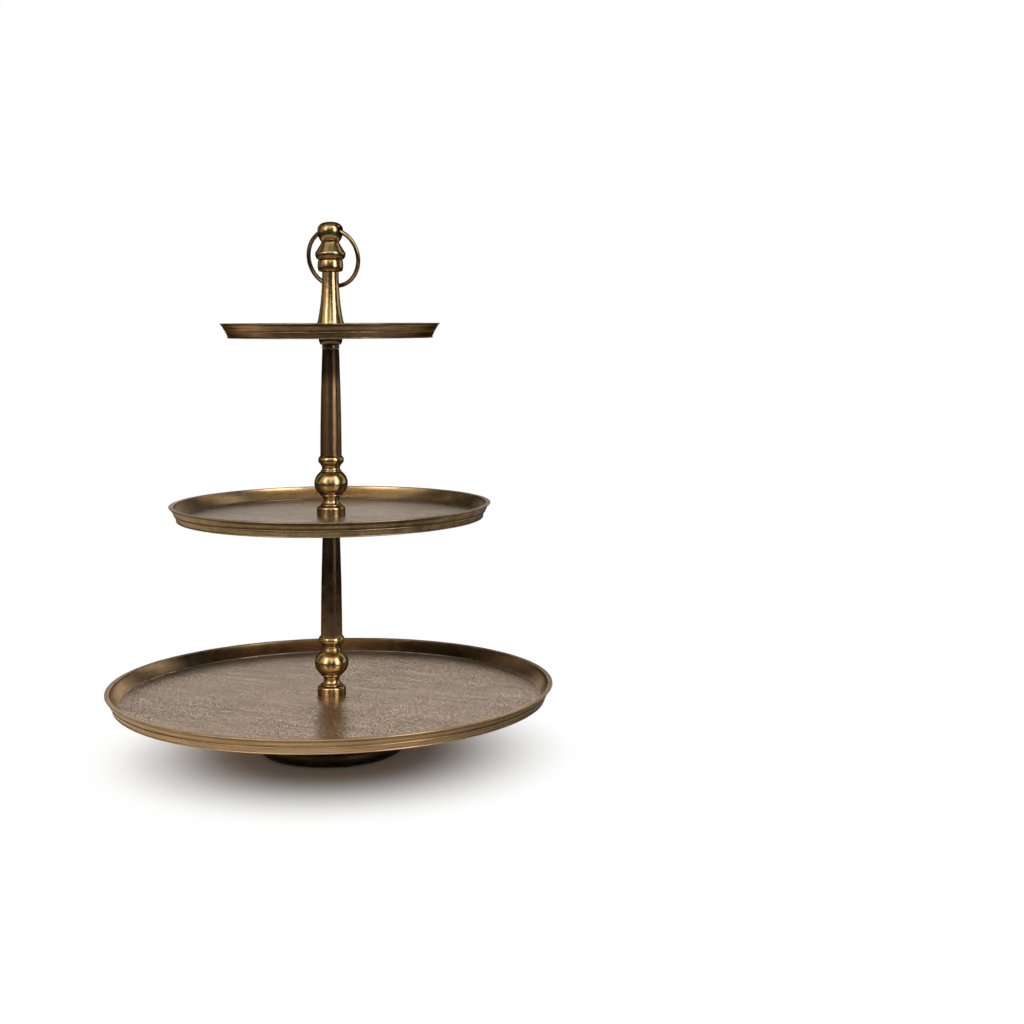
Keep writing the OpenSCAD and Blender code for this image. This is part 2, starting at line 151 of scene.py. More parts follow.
@dataclass(frozen=True)
class Outline:
    """Outline of a turned piece, drawn so that the metal lies on its left.

    Attributes:
        points: Radius and height of each point in millimetres.
        closed: True where the outline returns to its start, False where both ends lie on the axis.
    """

    points: tuple[Point, ...]
    closed: bool

    def refined(self, pitch: float, far: float) -> "Outline":
        """Adds points along long segments, close together near their ends.

        Args:
            pitch: Spacing next to an end of a segment.
            far: Widest spacing in the middle of a long segment.

        Returns:
            The outline with its extra points.
        """
        loop = list(self.points) + ([self.points[0]] if self.closed else [])
        result: list[Point] = [loop[0]]
        for a, b in zip(loop, loop[1:]):
            length = math.dist(a, b)
            if length < SHORTEST:
                continue
            ticks, step = [0.0], pitch
            while ticks[-1] + step < length / 2:
                ticks.append(ticks[-1] + step)
                step = min(step * GROWTH, far)
            ticks += [length - t for t in reversed(ticks)]
            for t in ticks[1:]:
                p = (a[0] + (b[0] - a[0]) * t / length, a[1] + (b[1] - a[1]) * t / length)
                if math.dist(p, result[-1]) > SAME:
                    result.append(p)
        if self.closed and math.dist(result[0], result[-1]) < SAME:
            result.pop()
        return Outline(tuple(result), self.closed)

    def cavity(self, reach: float) -> list[float]:
        """How far each point lies in a hollow.

        Args:
            reach: Length of outline on either side that a point is compared with, in millimetres.

        Returns:
            A value from -1 on a sharp edge through 0 on a flat to 1 in a sharp hollow.
        """
        p = np.array(self.points)
        if self.closed:
            p = np.vstack([p, p[:1]])
        run = np.concatenate([[0], np.cumsum(np.hypot(*np.diff(p, axis=0).T))])

        def at(s: np.ndarray) -> np.ndarray:
            """Points at given lengths along the outline."""
            s = np.mod(s, run[-1]) if self.closed else np.clip(s, 0, run[-1])
            return np.stack([np.interp(s, run, p[:, 0]), np.interp(s, run, p[:, 1])], axis=1)

        here, step, full = run[: len(self.points)], 0.3 * reach, 0.28 * reach
        ahead, behind = at(here + step), at(here - step)
        along = ahead - behind
        along /= np.maximum(np.hypot(along[:, 0], along[:, 1]), 1e-9)[:, None]
        outward = np.stack([along[:, 1], -along[:, 0]], axis=1)
        around = sum(at(here + k * reach) for k in (-1, -0.6, 0.6, 1)) / 4
        depth = np.sum((around - at(here)) * outward, axis=1)
        return [float(x) for x in np.clip(depth / full, -1, 1)]


# Bench work with Blender's own tools


def only(obj: bpy.types.Object) -> None:
    """Selects one object and makes it the active one.

    Args:
        obj: The object.
    """
    bpy.ops.object.select_all(action="DESELECT")
    obj.select_set(True)
    bpy.context.view_layer.objects.active = obj


def settle(obj: bpy.types.Object, name: str) -> bpy.types.Object:
    """Names an object and its mesh and moves its place into the mesh.

    Args:
        obj: The object.
        name: Its new name.

    Returns:
        The object.
    """
    only(obj)
    bpy.ops.object.transform_apply(location=True, rotation=True, scale=True)
    obj.name = obj.data.name = name
    return obj


def apply_all(obj: bpy.types.Object) -> None:
    """Applies every modifier of an object in order.

    Args:
        obj: The object.
    """
    only(obj)
    for modifier in list(obj.modifiers):
        bpy.ops.object.modifier_apply(modifier=modifier.name)


def turn(name: str, outline: Outline, height: float, steps: int, reach: float,
         share: float = 1.0) -> bpy.types.Object:
    """Turns an outline about the axis of the stand into a closed shell and marks its hollows.

    Args:
        name: Name of the piece.
        outline: The outline in millimetres.
        height: Height of the outline's zero line in metres.
        steps: Number of steps round the axis.
        reach: Length of outline that a point is compared with, in millimetres.
        share: Strength of the hollows against the edges.

    Returns:
        The turned piece.
    """
    places = [Vector((r * MM, 0, height + z * MM)) for r, z in outline.points]
    bpy.ops.object.select_all(action="DESELECT")
    bpy.ops.mesh.primitive_plane_add(size=MM, location=places[0])
    obj = settle(bpy.context.active_object, name)
    bpy.ops.object.mode_set(mode="EDIT")
    bpy.ops.mesh.select_all(action="SELECT")
    bpy.ops.mesh.merge(type="CENTER")
    for a, b in zip(places, places[1:]):
        bpy.ops.mesh.extrude_region_move(TRANSFORM_OT_translate={"value": b - a})
    if outline.closed:
        bpy.ops.object.mode_set(mode="OBJECT")
        count = len(obj.data.vertices)
        for vertex in obj.data.vertices:
            vertex.select = vertex.index in (0, count - 1)
        bpy.ops.object.mode_set(mode="EDIT")
        bpy.ops.mesh.edge_face_add()
    bpy.ops.mesh.select_all(action="SELECT")
    bpy.ops.mesh.spin(steps=steps, angle=math.tau, center=(0, 0, 0), axis=(0, 0, 1))
    bpy.ops.mesh.select_all(action="SELECT")
    bpy.ops.mesh.remove_doubles(threshold=WELD)
    bpy.ops.mesh.normals_make_consistent(inside=False)
    bpy.ops.object.mode_set(mode="OBJECT")
    mark_hollows(obj, outline, height, reach, share)
    return obj


def vertices_of(obj: bpy.types.Object) -> np.ndarray:
    """Places of an object's vertices in metres, one row each.

    Args:
        obj: The object.

    Returns:
        The array of places.
    """
    co = np.zeros(len(obj.data.vertices) * 3)
    obj.data.vertices.foreach_get("co", co)
    return co.reshape(-1, 3)


def paint_layer(obj: bpy.types.Object, layer: Layer, values: np.ndarray) -> None:
    """Writes one value per vertex into a named attribute."""
    attribute = obj.data.attributes.new(layer.value, "FLOAT", "POINT")
    attribute.data.foreach_set("value", values.astype(np.float32))


def mark_hollows(obj: bpy.types.Object, outline: Outline, height: float, reach: float, share: float) -> None:
    """Marks the hollows and edges of a turned piece from its outline.

    Args:
        obj: The turned piece.
        outline: The outline that it was turned from.
        height: Height of the outline's zero line in metres.
        reach: Length of outline that a point is compared with, in millimetres.
        share: Strength of the hollows against the edges.
    """
    batch = 4000
    co = vertices_of(obj)
    spots = np.stack([np.hypot(co[:, 0], co[:, 1]), co[:, 2] - height], axis=1) / MM
    line = np.array(outline.points)
    values = np.array(outline.cavity(reach))
    nearest = np.concatenate([
        np.argmin(((part[:, None, :] - line[None, :, :]) ** 2).sum(axis=2), axis=1)
        for part in np.array_split(spots, max(1, len(spots) // batch))
    ])
    values = np.where(values > 0, values * share, values)
    paint_layer(obj, Layer.CAVITY, values[nearest])


@dataclass(frozen=True)
class Waves:
    """Soft waves of a cast surface: greatest depth and length in millimetres."""

    depth: float
    length: float


def sink_waves(obj: bpy.types.Object, waves: Waves) -> None:
    """Sinks a surface in soft waves, as in a casting.

    Args:
        obj: The piece.
        waves: Its waves.
    """
    pattern = bpy.data.textures.new("casting_waves", "CLOUDS")
    pattern.noise_scale = waves.length * MM
    pattern.noise_depth = 1
    modifier = obj.modifiers.new("casting_waves", "DISPLACE")
    modifier.texture = pattern
    modifier.texture_coords = "LOCAL"
    modifier.direction = "NORMAL"
    modifier.strength = waves.depth * MM
    modifier.mid_level = 1.0
    apply_all(obj)
    bpy.data.textures.remove(pattern)


def dress_in(obj: bpy.types.Object, material: bpy.types.Material) -> None:
    """Gives an object one material."""
    obj.data.materials.clear()
    obj.data.materials.append(material)


def hand_in(obj: bpy.types.Object, material: bpy.types.Material, slot: Slot, body: str, *nodes: str) -> None:
    """Smooths and dresses a piece, lets it ride on its body and stand for its solids.

    Args:
        obj: The finished piece.
        material: The finish.
        slot: The record's material slot; not used.
        body: The body that the piece rides on.
        *nodes: Names of the solids that it stands for.
    """
    only(obj)
    bpy.ops.object.shade_smooth_by_angle(angle=math.radians(SMOOTH_ANGLE))
    dress_in(obj, material)
    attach(obj, body)
    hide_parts(*nodes)
    LOG.info("%s: %d faces, stands for %s", obj.name, len(obj.data.polygons), ", ".join(nodes))


# Shader building


@dataclass
class Bench:
    """Short way to add nodes to a tree and link them."""

    tree: bpy.types.NodeTree

    def feed(self, node: bpy.types.Node, inputs: dict) -> None:
        """Fills a node's inputs with values or links.

        Args:
            node: The node.
            inputs: Values or output sockets by input name or number.
        """
        for key, value in inputs.items():
            if isinstance(value, bpy.types.NodeSocket):
                self.tree.links.new(value, node.inputs[key])
            else:
                node.inputs[key].default_value = value

    def add(self, kind: str, inputs: dict | None = None, **settings: object) -> bpy.types.Node:
        """Adds a node.

        Args:
            kind: The node's type name.
            inputs: Values or output sockets by input name or number.
            **settings: Properties of the node.

        Returns:
            The new node.
        """
        node = self.tree.nodes.new(kind)
        for key, value in settings.items():
            setattr(node, key, value)
        self.feed(node, inputs or {})
        return node

    def group(self, group: bpy.types.NodeTree, inputs: dict) -> bpy.types.NodeOutputs:
        """Outputs of a node group that is given its inputs."""
        return self.add("ShaderNodeGroup", inputs, node_tree=group).outputs

    def math(self, operation: str, a: object, b: object = 0.0, clamp: bool = False) -> Socket:
        """Result of a Math node."""
        return self.add("ShaderNodeMath", {0: a, 1: b}, operation=operation, use_clamp=clamp).outputs[0]

    def plus(self, a: object, b: object) -> Socket:
        """Sum of two values."""
        return self.math("ADD", a, b)

    def minus(self, a: object, b: object) -> Socket:
        """Difference of two values."""
        return self.math("SUBTRACT", a, b)

    def times(self, a: object, b: object, clamp: bool = False) -> Socket:
        """Product of two values."""
        return self.math("MULTIPLY", a, b, clamp)

    def centred(self, value: object) -> Socket:
        """A value between 0 and 1, moved to lie about zero."""
        return self.minus(value, 0.5)

    def ramp(self, value: object, low: float, high: float, to_low: object = 0.0, to_high: object = 1.0,
             kind: str = "SMOOTHSTEP") -> Socket:
        """Result of a Map Range node."""
        return self.add("ShaderNodeMapRange", {"Value": value, "From Min": low, "From Max": high, "To Min": to_low,
                                               "To Max": to_high}, interpolation_type=kind).outputs[0]

    def blend(self, share: object, first: object, second: object) -> Socket:
        """Even change from one value to another as a share grows from 0 to 1."""
        return self.ramp(share, 0.0, 1.0, first, second, "LINEAR")

    def mix(self, factor: object, a: object, b: object, kind: str = "MIX") -> Socket:
        """Result of a colour Mix node."""
        return self.add("ShaderNodeMix", {0: factor, 6: a, 7: b}, data_type="RGBA", blend_type=kind).outputs[2]

    def grey(self, level: Socket) -> Socket:
        """Colour with the same level of red, green and blue."""
        return self.add("ShaderNodeCombineColor", {0: level, 1: level, 2: level}).outputs[0]

    def noise(self, where: object, scale: object, detail: float = 2.0, rough: float = 0.5) -> Socket:
        """Value of a Noise texture."""
        return self.add("ShaderNodeTexNoise", {"Vector": where, "Scale": scale, "Detail": detail,
                                               "Roughness": rough}).outputs[0]

    def place(self) -> Socket:
        """Place on the object in its own frame."""
        return self.add("ShaderNodeTexCoord").outputs["Object"]

    def drawn(self, where: Socket, scale: tuple[float, float, float], turned: float = 0.0) -> Socket:
        """Place scaled along each axis and turned about the upright one, in degrees."""
        return self.add("ShaderNodeMapping", {"Vector": where, "Scale": scale,
                                              "Rotation": (0.0, 0.0, math.radians(turned))}).outputs[0]

    def layer(self, layer: Layer) -> Socket:
        """Value of a painted attribute."""
        return self.add("ShaderNodeAttribute", attribute_name=layer.value).outputs["Fac"]

    def length(self, vector: Socket) -> Socket:
        """Length of a vector."""
        return self.add("ShaderNodeVectorMath", {0: vector}, operation="LENGTH").outputs["Value"]

    def bump(self, depth: float, height: Socket) -> Socket:
        """Normal of a surface with a relief of a depth in metres."""
        return self.add("ShaderNodeBump", {"Strength": 1.0, "Distance": depth, "Height": height}).outputs[0]


def rgba(color: Color) -> tuple[float, float, float, float]:
    """Colour with full alpha."""
    return (*color, 1.0)


def empty_bench(owner: bpy.types.Material | bpy.types.World) -> Bench:
    """Bench at the emptied node tree of a material or world.

    Args:
        owner: The material or world.

    Returns:
        The bench.
    """
    owner.use_nodes = True
    owner.node_tree.nodes.clear()
    return Bench(owner.node_tree)


def new_group(name: str, values: dict[str, float], outputs: tuple[str, ...],
              vector: str = "Vector") -> tuple[Bench, bpy.types.NodeOutputs, bpy.types.Node]:
    """Starts a shader node group with one vector among its inputs.

    Args:
        name: Name of the group.
        values: Default of each number among its inputs, by name.
        outputs: Names of its outputs, all numbers.
        vector: Name of the vector input.

    Returns:
        The group's bench, the sockets of its inputs and its output node.
    """
    group = bpy.data.node_groups.new(name, "ShaderNodeTree")
    group.interface.new_socket(vector, in_out="INPUT", socket_type="NodeSocketVector")
    for label, default in values.items():
        group.interface.new_socket(label, in_out="INPUT", socket_type="NodeSocketFloat").default_value = default
    for label in outputs:
        group.interface.new_socket(label, in_out="OUTPUT", socket_type="NodeSocketFloat")
    b = Bench(group)
    return b, b.add("NodeGroupInput").outputs, b.add("NodeGroupOutput")


@cache
def grain_group() -> bpy.types.NodeTree:
    """Orange-peel grain of a sand casting, with scattered pits.

    Returns:
        The group: Vector, Scale, Coarse and Pits in, Height, Speckle and Pit out.
    """
    b, given, leave = new_group("cast_grain", {"Scale": 500.0, "Coarse": 0.5, "Pits": 0.1},
                                ("Height", "Speckle", "Pit"))
    where, scale = given["Vector"], given["Scale"]
    fine = b.noise(where, scale, 2.0, 0.6)
    curls = b.noise(where, b.times(scale, 0.62), 3.0, 0.62)
    broad = b.noise(where, b.times(scale, 0.07))
    mixed = b.plus(b.times(fine, 0.55), b.times(b.plus(curls, broad), given["Coarse"]))
    cells = b.add("ShaderNodeTexVoronoi", {"Vector": where, "Scale": b.times(scale, 0.12)}).outputs
    lot = b.add("ShaderNodeSeparateColor", {"Color": cells["Color"]}).outputs[0]
    pit = b.times(b.math("GREATER_THAN", given["Pits"], lot), b.ramp(cells["Distance"], 0.16, 0.06))
    speckle = b.ramp(b.plus(b.times(fine, 0.6), b.times(curls, 0.4)), 0.36, 0.66)
    b.feed(leave, {"Height": b.minus(mixed, b.times(pit, 1.5)), "Speckle": speckle, "Pit": pit})
    return b.tree


@cache
def patina_and_shade_group() -> bpy.types.NodeTree:
    """Dark patina in cloudy patches and in hollows, where it is painted shade as well.

    Returns:
        The group: Vector, Cavity, Scale, Hollow and Clouds in, Mask out.
    """
    b, given, leave = new_group("patina_and_shade", {"Cavity": 0.0, "Scale": 20.0, "Hollow": 1.0, "Clouds": 0.4}, ("Mask",))
    where, scale = given["Vector"], given["Scale"]
    cloud = b.noise(where, scale, 4.0, 0.6)
    broken = b.noise(where, b.times(scale, 12.0))
    # patina in hollows, with painted shade where shade falls in them
    hollow = b.ramp(b.plus(given["Cavity"], b.times(b.centred(broken), 0.35)), 0.12, 0.7)
    patches = b.times(b.ramp(cloud, 0.42, 0.7), given["Clouds"])
    b.feed(leave, {"Mask": b.math("MAXIMUM", b.times(hollow, given["Hollow"]), patches, clamp=True)})
    return b.tree


@cache
def wear_group() -> bpy.types.NodeTree:
    """Bright rubbed metal along edges.

    Returns:
        The group: Vector, Cavity, Scale and Amount in, Mask out.
    """
    b, given, leave = new_group("edge_wear", {"Cavity": 0.0, "Scale": 120.0, "Amount": 1.0}, ("Mask",))
    patchy = b.noise(given["Vector"], given["Scale"], 3.0, 0.6)
    edge = b.ramp(b.times(given["Cavity"], -1.0), 0.15, 0.75)
    rubbed = b.times(edge, b.ramp(patchy, 0.3, 0.6, 0.35, 1.0))
    b.feed(leave, {"Mask": b.times(rubbed, given["Amount"], clamp=True)})
    return b.tree


@cache
def lathe_group() -> bpy.types.NodeTree:
    """Fine rings that a lathe leaves round the upright axis, on floors and on walls.

    Returns:
        The group: Vector, Scale and Broken in, Line out.
    """
    b, given, leave = new_group("lathe_rings", {"Scale": 300.0, "Broken": 2.0}, ("Line",))
    part = b.add("ShaderNodeSeparateXYZ", {0: given["Vector"]}).outputs
    flat = b.add("ShaderNodeCombineXYZ", {0: part[0], 1: part[1]}).outputs[0]
    outward = b.add("ShaderNodeVectorMath", {0: flat}, operation="NORMALIZE").outputs[0]
    ways = b.add("ShaderNodeSeparateXYZ", {0: outward}).outputs
    rolled = b.add("ShaderNodeCombineXYZ", {
        0: b.times(b.plus(b.length(flat), part[2]), given["Scale"]),
        1: b.times(ways[0], given["Broken"]),
        2: b.times(ways[1], given["Broken"])}).outputs[0]
    b.feed(leave, {"Line": b.noise(rolled, 1.0, 4.0, 0.65)})
    return b.tree


@cache
def window_group() -> bpy.types.NodeTree:
    """Mask of one softbox, with a soft edge.

    Returns:
        The group: Direction, Turn, Half Width, Rise and Half Height in, Mask out.
    """
    b, given, leave = new_group("softbox_window", {"Turn": 0.0, "Half Width": 0.3, "Rise": 0.4, "Half Height": 0.3},
                                ("Mask",), vector="Direction")
    soft = 0.06
    turned = b.add("ShaderNodeVectorRotate", {"Vector": given["Direction"], "Angle": b.times(given["Turn"], -1.0)},
                   rotation_type="Z_AXIS").outputs[0]
    part = b.add("ShaderNodeSeparateXYZ", {0: turned}).outputs
    across = b.math("ABSOLUTE", b.math("ARCTAN2", part[1], part[0]))
    up = b.math("ABSOLUTE", b.minus(b.math("ARCSINE", part[2]), given["Rise"]))
    wide = b.ramp(b.minus(across, given["Half Width"]), -soft, soft, 1.0, 0.0)
    tall = b.ramp(b.minus(up, given["Half Height"]), -soft, soft, 1.0, 0.0)
    b.feed(leave, {"Mask": b.times(wide, tall)})
    return b.tree


def new_material(name: str) -> tuple[bpy.types.Material, Bench, bpy.types.Node]:
    """Starts a material with an empty tree, a Principled shader and its output.

    Args:
        name: Name of the material.

    Returns:
        The material, its bench and its shader.
    """
    material = bpy.data.materials.new(name)
    b = empty_bench(material)
    shader = b.add("ShaderNodeBsdfPrincipled")
    b.add("ShaderNodeOutputMaterial", {"Surface": shader.outputs[0]})
    return material, b, shader


@dataclass(frozen=True)
class CastBrass:
    """Brass-plated casting with dark patina and painted shade in its hollows, painted shade from a painted attribute,
    and rubbed edges.

    Attributes:
        name: Name of the material.
        clean: Colour of the clean plating.
        tone: Second colour of the plating, in broad patches.
        dark: Colour of the patina and of the painted shade.
        rubbed: Colour of the rubbed edges.
        rough: Roughness of the clean plating.
        rough_dark: Roughness of the patina and of the painted shade.
        grain: Grains per metre.
        depth: Depth of the grain in metres.
        coarse: Share of the coarse grain.
        pits: Share of grain cells that hold a pit.
        hollow: Strength of the patina and painted shade in hollows.
        clouds: Strength of the patina in patches.
        wear: Strength of the rubbed edges.
        speckle: Strength of the dark speckle.
        rings: Strength of the lathe's rings.
        streaks: Strength of the polishing marks that run up the piece.
        ragged: Strength of the broken edges of the painted shade.
        edge: Colour of the metal's reflections at a grazing angle.
        cloud_scale: Clouds of patina per metre.
        ragged_scale: Breaks of the painted shade per metre.
        wear_scale: Breaks of the rubbed edges per metre.
        ring_scale: Rings of the lathe per metre.
        ring_breaks: Breaks of each ring, once round.
        streak_scale: Polishing marks per metre.
        streak_squash: Share of that along the marks.
        patch_scale: Patches of the second colour per metre.
        patch_rough: Roughness of those patches against the rest.
        pit_shade: Brightness of a pit against the patina.
        floor: Colour of a tray floor.
        floor_rough: Roughness of a tray floor.
        floor_metal: Share of bare metal on a tray floor.
        floor_speckle: Strength of the dark speckle on a tray floor.
        floor_flow: Strength of the long casting marks on a tray floor.
        cluster_scale: Clusters of speckle per metre of a tray floor.
        flow_scale: Casting marks per metre of a tray floor.
        flow_squash: Share of that along the marks.
    """

    name: str
    clean: Color
    tone: Color
    dark: Color
    rubbed: Color
    rough: float = 0.3
    rough_dark: float = 0.5
    grain: float = 500.0
    depth: float = 0.00004
    coarse: float = 0.5
    pits: float = 0.05
    hollow: float = 0.9
    clouds: float = 0.3
    wear: float = 0.7
    speckle: float = 0.25
    rings: float = 0.0
    streaks: float = 0.0
    ragged: float = 0.5
    edge: Color = WHITE
    cloud_scale: float = 22.0
    ragged_scale: float = 60.0
    wear_scale: float = 150.0
    ring_scale: float = 600.0
    ring_breaks: float = 9.0
    streak_scale: float = 420.0
    streak_squash: float = 0.03
    patch_scale: float = 14.0
    patch_rough: float = 1.15
    pit_shade: float = 0.4
    floor: Color | None = None
    floor_rough: float = 0.4
    floor_metal: float = 0.8
    floor_speckle: float = 0.4
    floor_flow: float = 0.35
    cluster_scale: float = 9.0
    flow_scale: float = 130.0
    flow_squash: float = 0.1

    def patina_and_shade(self, b: Bench, where: Socket, cavity: Socket) -> Socket:
        """Mask of the dark colour: patina in clouds and hollows, painted shade in the same hollows, and the painted
        shade from the painted attribute.

        Args:
            b: The material's bench.
            where: Place on the object.
            cavity: How far a point lies in a hollow.

        Returns:
            The mask.
        """
        patina_and_hollow_shade = b.group(patina_and_shade_group(), {"Vector": where, "Cavity": cavity, "Scale": self.cloud_scale,
                                           "Hollow": self.hollow, "Clouds": self.clouds})["Mask"]
        broken = b.times(b.centred(b.noise(where, self.ragged_scale, 4.0, 0.6)), self.ragged)
        # painted shade from the painted attribute, with ragged edges
        painted_shade = b.times(b.layer(Layer.PAINTED_SHADE), b.plus(1.0, broken))
        return b.math("MAXIMUM", patina_and_hollow_shade, painted_shade, clamp=True)

    def lines(self, b: Bench, where: Socket) -> Socket:
        """Relief and shade of the lathe's rings and of the polishing marks, about zero.

        Args:
            b: The material's bench.
            where: Place on the object.

        Returns:
            The relief and shade.
        """
        rings = b.group(lathe_group(), {"Vector": where, "Scale": self.ring_scale,
                                        "Broken": self.ring_breaks})["Line"]
        streaks = b.noise(b.drawn(where, (1.0, 1.0, self.streak_squash)), self.streak_scale, 3.0, 0.6)
        return b.plus(b.times(b.centred(rings), self.rings), b.times(b.centred(streaks), self.streaks))

    def material(self) -> bpy.types.Material:
        """Builds the material.

        Returns:
            The material.
        """
        material, b, shader = new_material(self.name)
        where, cavity = b.place(), b.layer(Layer.CAVITY)
        grain = b.group(grain_group(), {"Vector": where, "Scale": self.grain, "Coarse": self.coarse,
                                        "Pits": self.pits})
        patina_and_shade, lines = self.patina_and_shade(b, where, cavity), self.lines(b, where)
        worn = b.group(wear_group(), {"Vector": where, "Cavity": cavity, "Scale": self.wear_scale,
                                      "Amount": self.wear})["Mask"]
        patches = b.ramp(b.noise(where, self.patch_scale, 3.0, 0.55), 0.35, 0.65)
        color = b.mix(patches, rgba(self.clean), rgba(self.tone))
        rough = b.blend(patches, self.rough, self.rough * self.patch_rough)
        metal: Socket | float = 1.0
        amount: Socket | float = self.speckle
        flow: Socket | float = 0.0
        if self.floor is not None:
            zone = b.layer(Layer.FLOOR)
            color = b.mix(zone, color, rgba(self.floor))
            rough = b.blend(zone, rough, self.floor_rough)
            metal = b.blend(zone, metal, self.floor_metal)
            clusters = b.ramp(b.noise(where, self.cluster_scale, 3.0, 0.55), 0.40, 0.60, 0.5, 1.1)
            amount = b.blend(zone, amount, b.times(clusters, self.floor_speckle))
            marks = b.noise(b.drawn(where, (self.flow_squash, 1.0, 1.0), -FRONT), self.flow_scale, 4.0, 0.6)
            flow = b.times(b.times(b.centred(marks), self.floor_flow), zone)
        spotted = b.plus(b.times(b.centred(grain["Speckle"]), amount), flow)
        shade = b.plus(1.0, b.times(b.plus(spotted, lines), 2.0))
        color = b.mix(1.0, color, b.grey(shade), "MULTIPLY")
        # dark colour of the patina and of the painted shade
        color = b.mix(patina_and_shade, color, rgba(self.dark))
        color = b.mix(worn, color, rgba(self.rubbed))
        color = b.mix(grain["Pit"], color, rgba(tuple(self.pit_shade * c for c in self.dark)))
        rough = b.minus(b.blend(patina_and_shade, rough, self.rough_dark), b.times(spotted, 0.3))
        height = b.plus(b.times(grain["Height"], b.plus(0.15, amount)), b.times(lines, 0.6))
        b.feed(shader, {"Base Color": color, "Metallic": metal, "Roughness": rough,
                        "Normal": b.bump(self.depth, height), "Specular Tint": rgba(self.edge)})
        return material


@dataclass(frozen=True)
class PlatedSteel:
    """Zinc-plated steel of the hidden fasteners."""

    name: str = "fastener_steel"
    color: Color = (0.50, 0.50, 0.49)
    stain: Color = (0.30, 0.28, 0.25)

    def material(self) -> bpy.types.Material:
        """Builds the material.

        Returns:
            The material.
        """
        material, b, shader = new_material(self.name)
        where = b.place()
        lines = b.noise(b.drawn(where, (1.0, 1.0, 8.0)), 900.0, 2.0, 0.6)
        spangle = b.ramp(b.noise(where, 160.0, 3.0, 0.6), 0.45, 0.75)
        b.feed(shader, {"Base Color": b.mix(spangle, rgba(self.color), rgba(self.stain)), "Metallic": 1.0,
                        "Roughness": b.ramp(lines, 0.3, 0.7, 0.25, 0.42), "Normal": b.bump(0.00001, lines)})
        return material


@dataclass(frozen=True)
class Felt:
    """Dark felt of the pads."""

    name: str = "pad_felt"
    color: Color = (0.020, 0.018, 0.016)
    fuzz: Color = (0.055, 0.050, 0.045)

    def material(self) -> bpy.types.Material:
        """Builds the material.

        Returns:
            The material.
        """
        material, b, shader = new_material(self.name)
        where = b.place()
        hairs, clumps = b.noise(where, 1800.0, 4.0, 0.7), b.noise(where, 260.0)
        b.feed(shader, {"Base Color": b.mix(b.ramp(hairs, 0.4, 0.7), rgba(self.color), rgba(self.fuzz)),
                        "Roughness": 0.95, "Sheen Weight": 0.4, "Normal": b.bump(0.0002, b.plus(hairs, clumps))})
        return material


TRAY_FINISH = CastBrass(
    "antique_tray", clean=(0.52, 0.35, 0.185), tone=(0.43, 0.285, 0.15), dark=(0.04, 0.026, 0.013),
    rubbed=(0.60, 0.46, 0.30), rough=0.28, rough_dark=0.38, grain=900.0, depth=0.00008, coarse=0.3, pits=0.01,
    hollow=0.85, clouds=0.12, wear=0.5, speckle=0.12, rings=0.6, edge=(0.72, 0.66, 0.61), floor=(0.47, 0.36, 0.265),
    floor_rough=0.31, floor_metal=0.88, floor_speckle=1.0, floor_flow=0.45)
# darker copy of the tray finish: painted shade on the top tray
SHADED_TOP_TRAY_FINISH = replace(TRAY_FINISH, name="antique_tray_painted_shade", clean=(0.50, 0.31, 0.155), tone=(0.40, 0.24, 0.12),
                     edge=(0.55, 0.40, 0.28), rings=1.1)
# brighter copy of the tray finish: painted light on the middle tray
LIT_MIDDLE_TRAY_FINISH = replace(TRAY_FINISH, name="antique_tray_painted_light", clean=(0.98, 0.69, 0.34), tone=(0.88, 0.58, 0.265),
                        speckle=0.25, floor=(0.41, 0.33, 0.245))
POLISHED_FINISH = CastBrass(
    "polished_brass", clean=(0.51, 0.355, 0.168), tone=(0.42, 0.285, 0.135), dark=(0.055, 0.036, 0.017),
    rubbed=(0.66, 0.52, 0.30), rough=0.19, rough_dark=0.35, grain=420.0, depth=0.00002, coarse=0.8, pits=0.01,
    hollow=0.85, clouds=0.15, wear=0.5, speckle=0.08, edge=(0.14, 0.10, 0.07))
SHAFT_FINISH = CastBrass(
    "dark_shaft", clean=(0.29, 0.18, 0.092), tone=(0.20, 0.122, 0.064), dark=(0.045, 0.030, 0.018),
    rubbed=(0.42, 0.32, 0.2), rough=0.27, rough_dark=0.38, grain=420.0, depth=0.00002, coarse=0.8, pits=0.01,
    hollow=0.8, clouds=0.25, wear=0.6, speckle=0.06, streaks=0.35, edge=(0.5, 0.38, 0.30))
# darker copy of the shaft finish: painted shade on the lower shaft under the middle tray
SHADED_LOW_SHAFT_FINISH = replace(SHAFT_FINISH, name="shaft_painted_shade", clean=(0.165, 0.10, 0.05), tone=(0.085, 0.052, 0.027),
                           rough=0.15, streaks=0.5, edge=(0.45, 0.30, 0.2))
CAPITAL_FINISH = replace(SHAFT_FINISH, name="dark_capital", clean=(0.17, 0.105, 0.058), tone=(0.11, 0.068, 0.037),
                         rough=0.2, streaks=0.0, rings=0.2)
# near-black foot colour: painted shade under the large tray
SHADED_FOOT_FINISH = CastBrass(
    "foot_painted_shade", clean=(0.052, 0.034, 0.019), tone=(0.036, 0.024, 0.014), dark=(0.018, 0.012, 0.008),
    rubbed=(0.30, 0.21, 0.11), rough=0.34, rough_dark=0.5, grain=500.0, depth=0.00016, coarse=0.5, pits=0.04,
    hollow=0.8, clouds=0.4, wear=0.5, speckle=0.2)
RING_FINISH = CastBrass(
    "ring_brass", clean=(0.42, 0.30, 0.15), tone=(0.30, 0.21, 0.11), dark=(0.05, 0.034, 0.018),
    rubbed=(0.62, 0.48, 0.28), rough=0.17, rough_dark=0.38, grain=600.0, depth=0.00003, coarse=0.6, pits=0.02,
    hollow=0.6, clouds=0.4, wear=0.5, speckle=0.12, edge=(0.15, 0.11, 0.08))


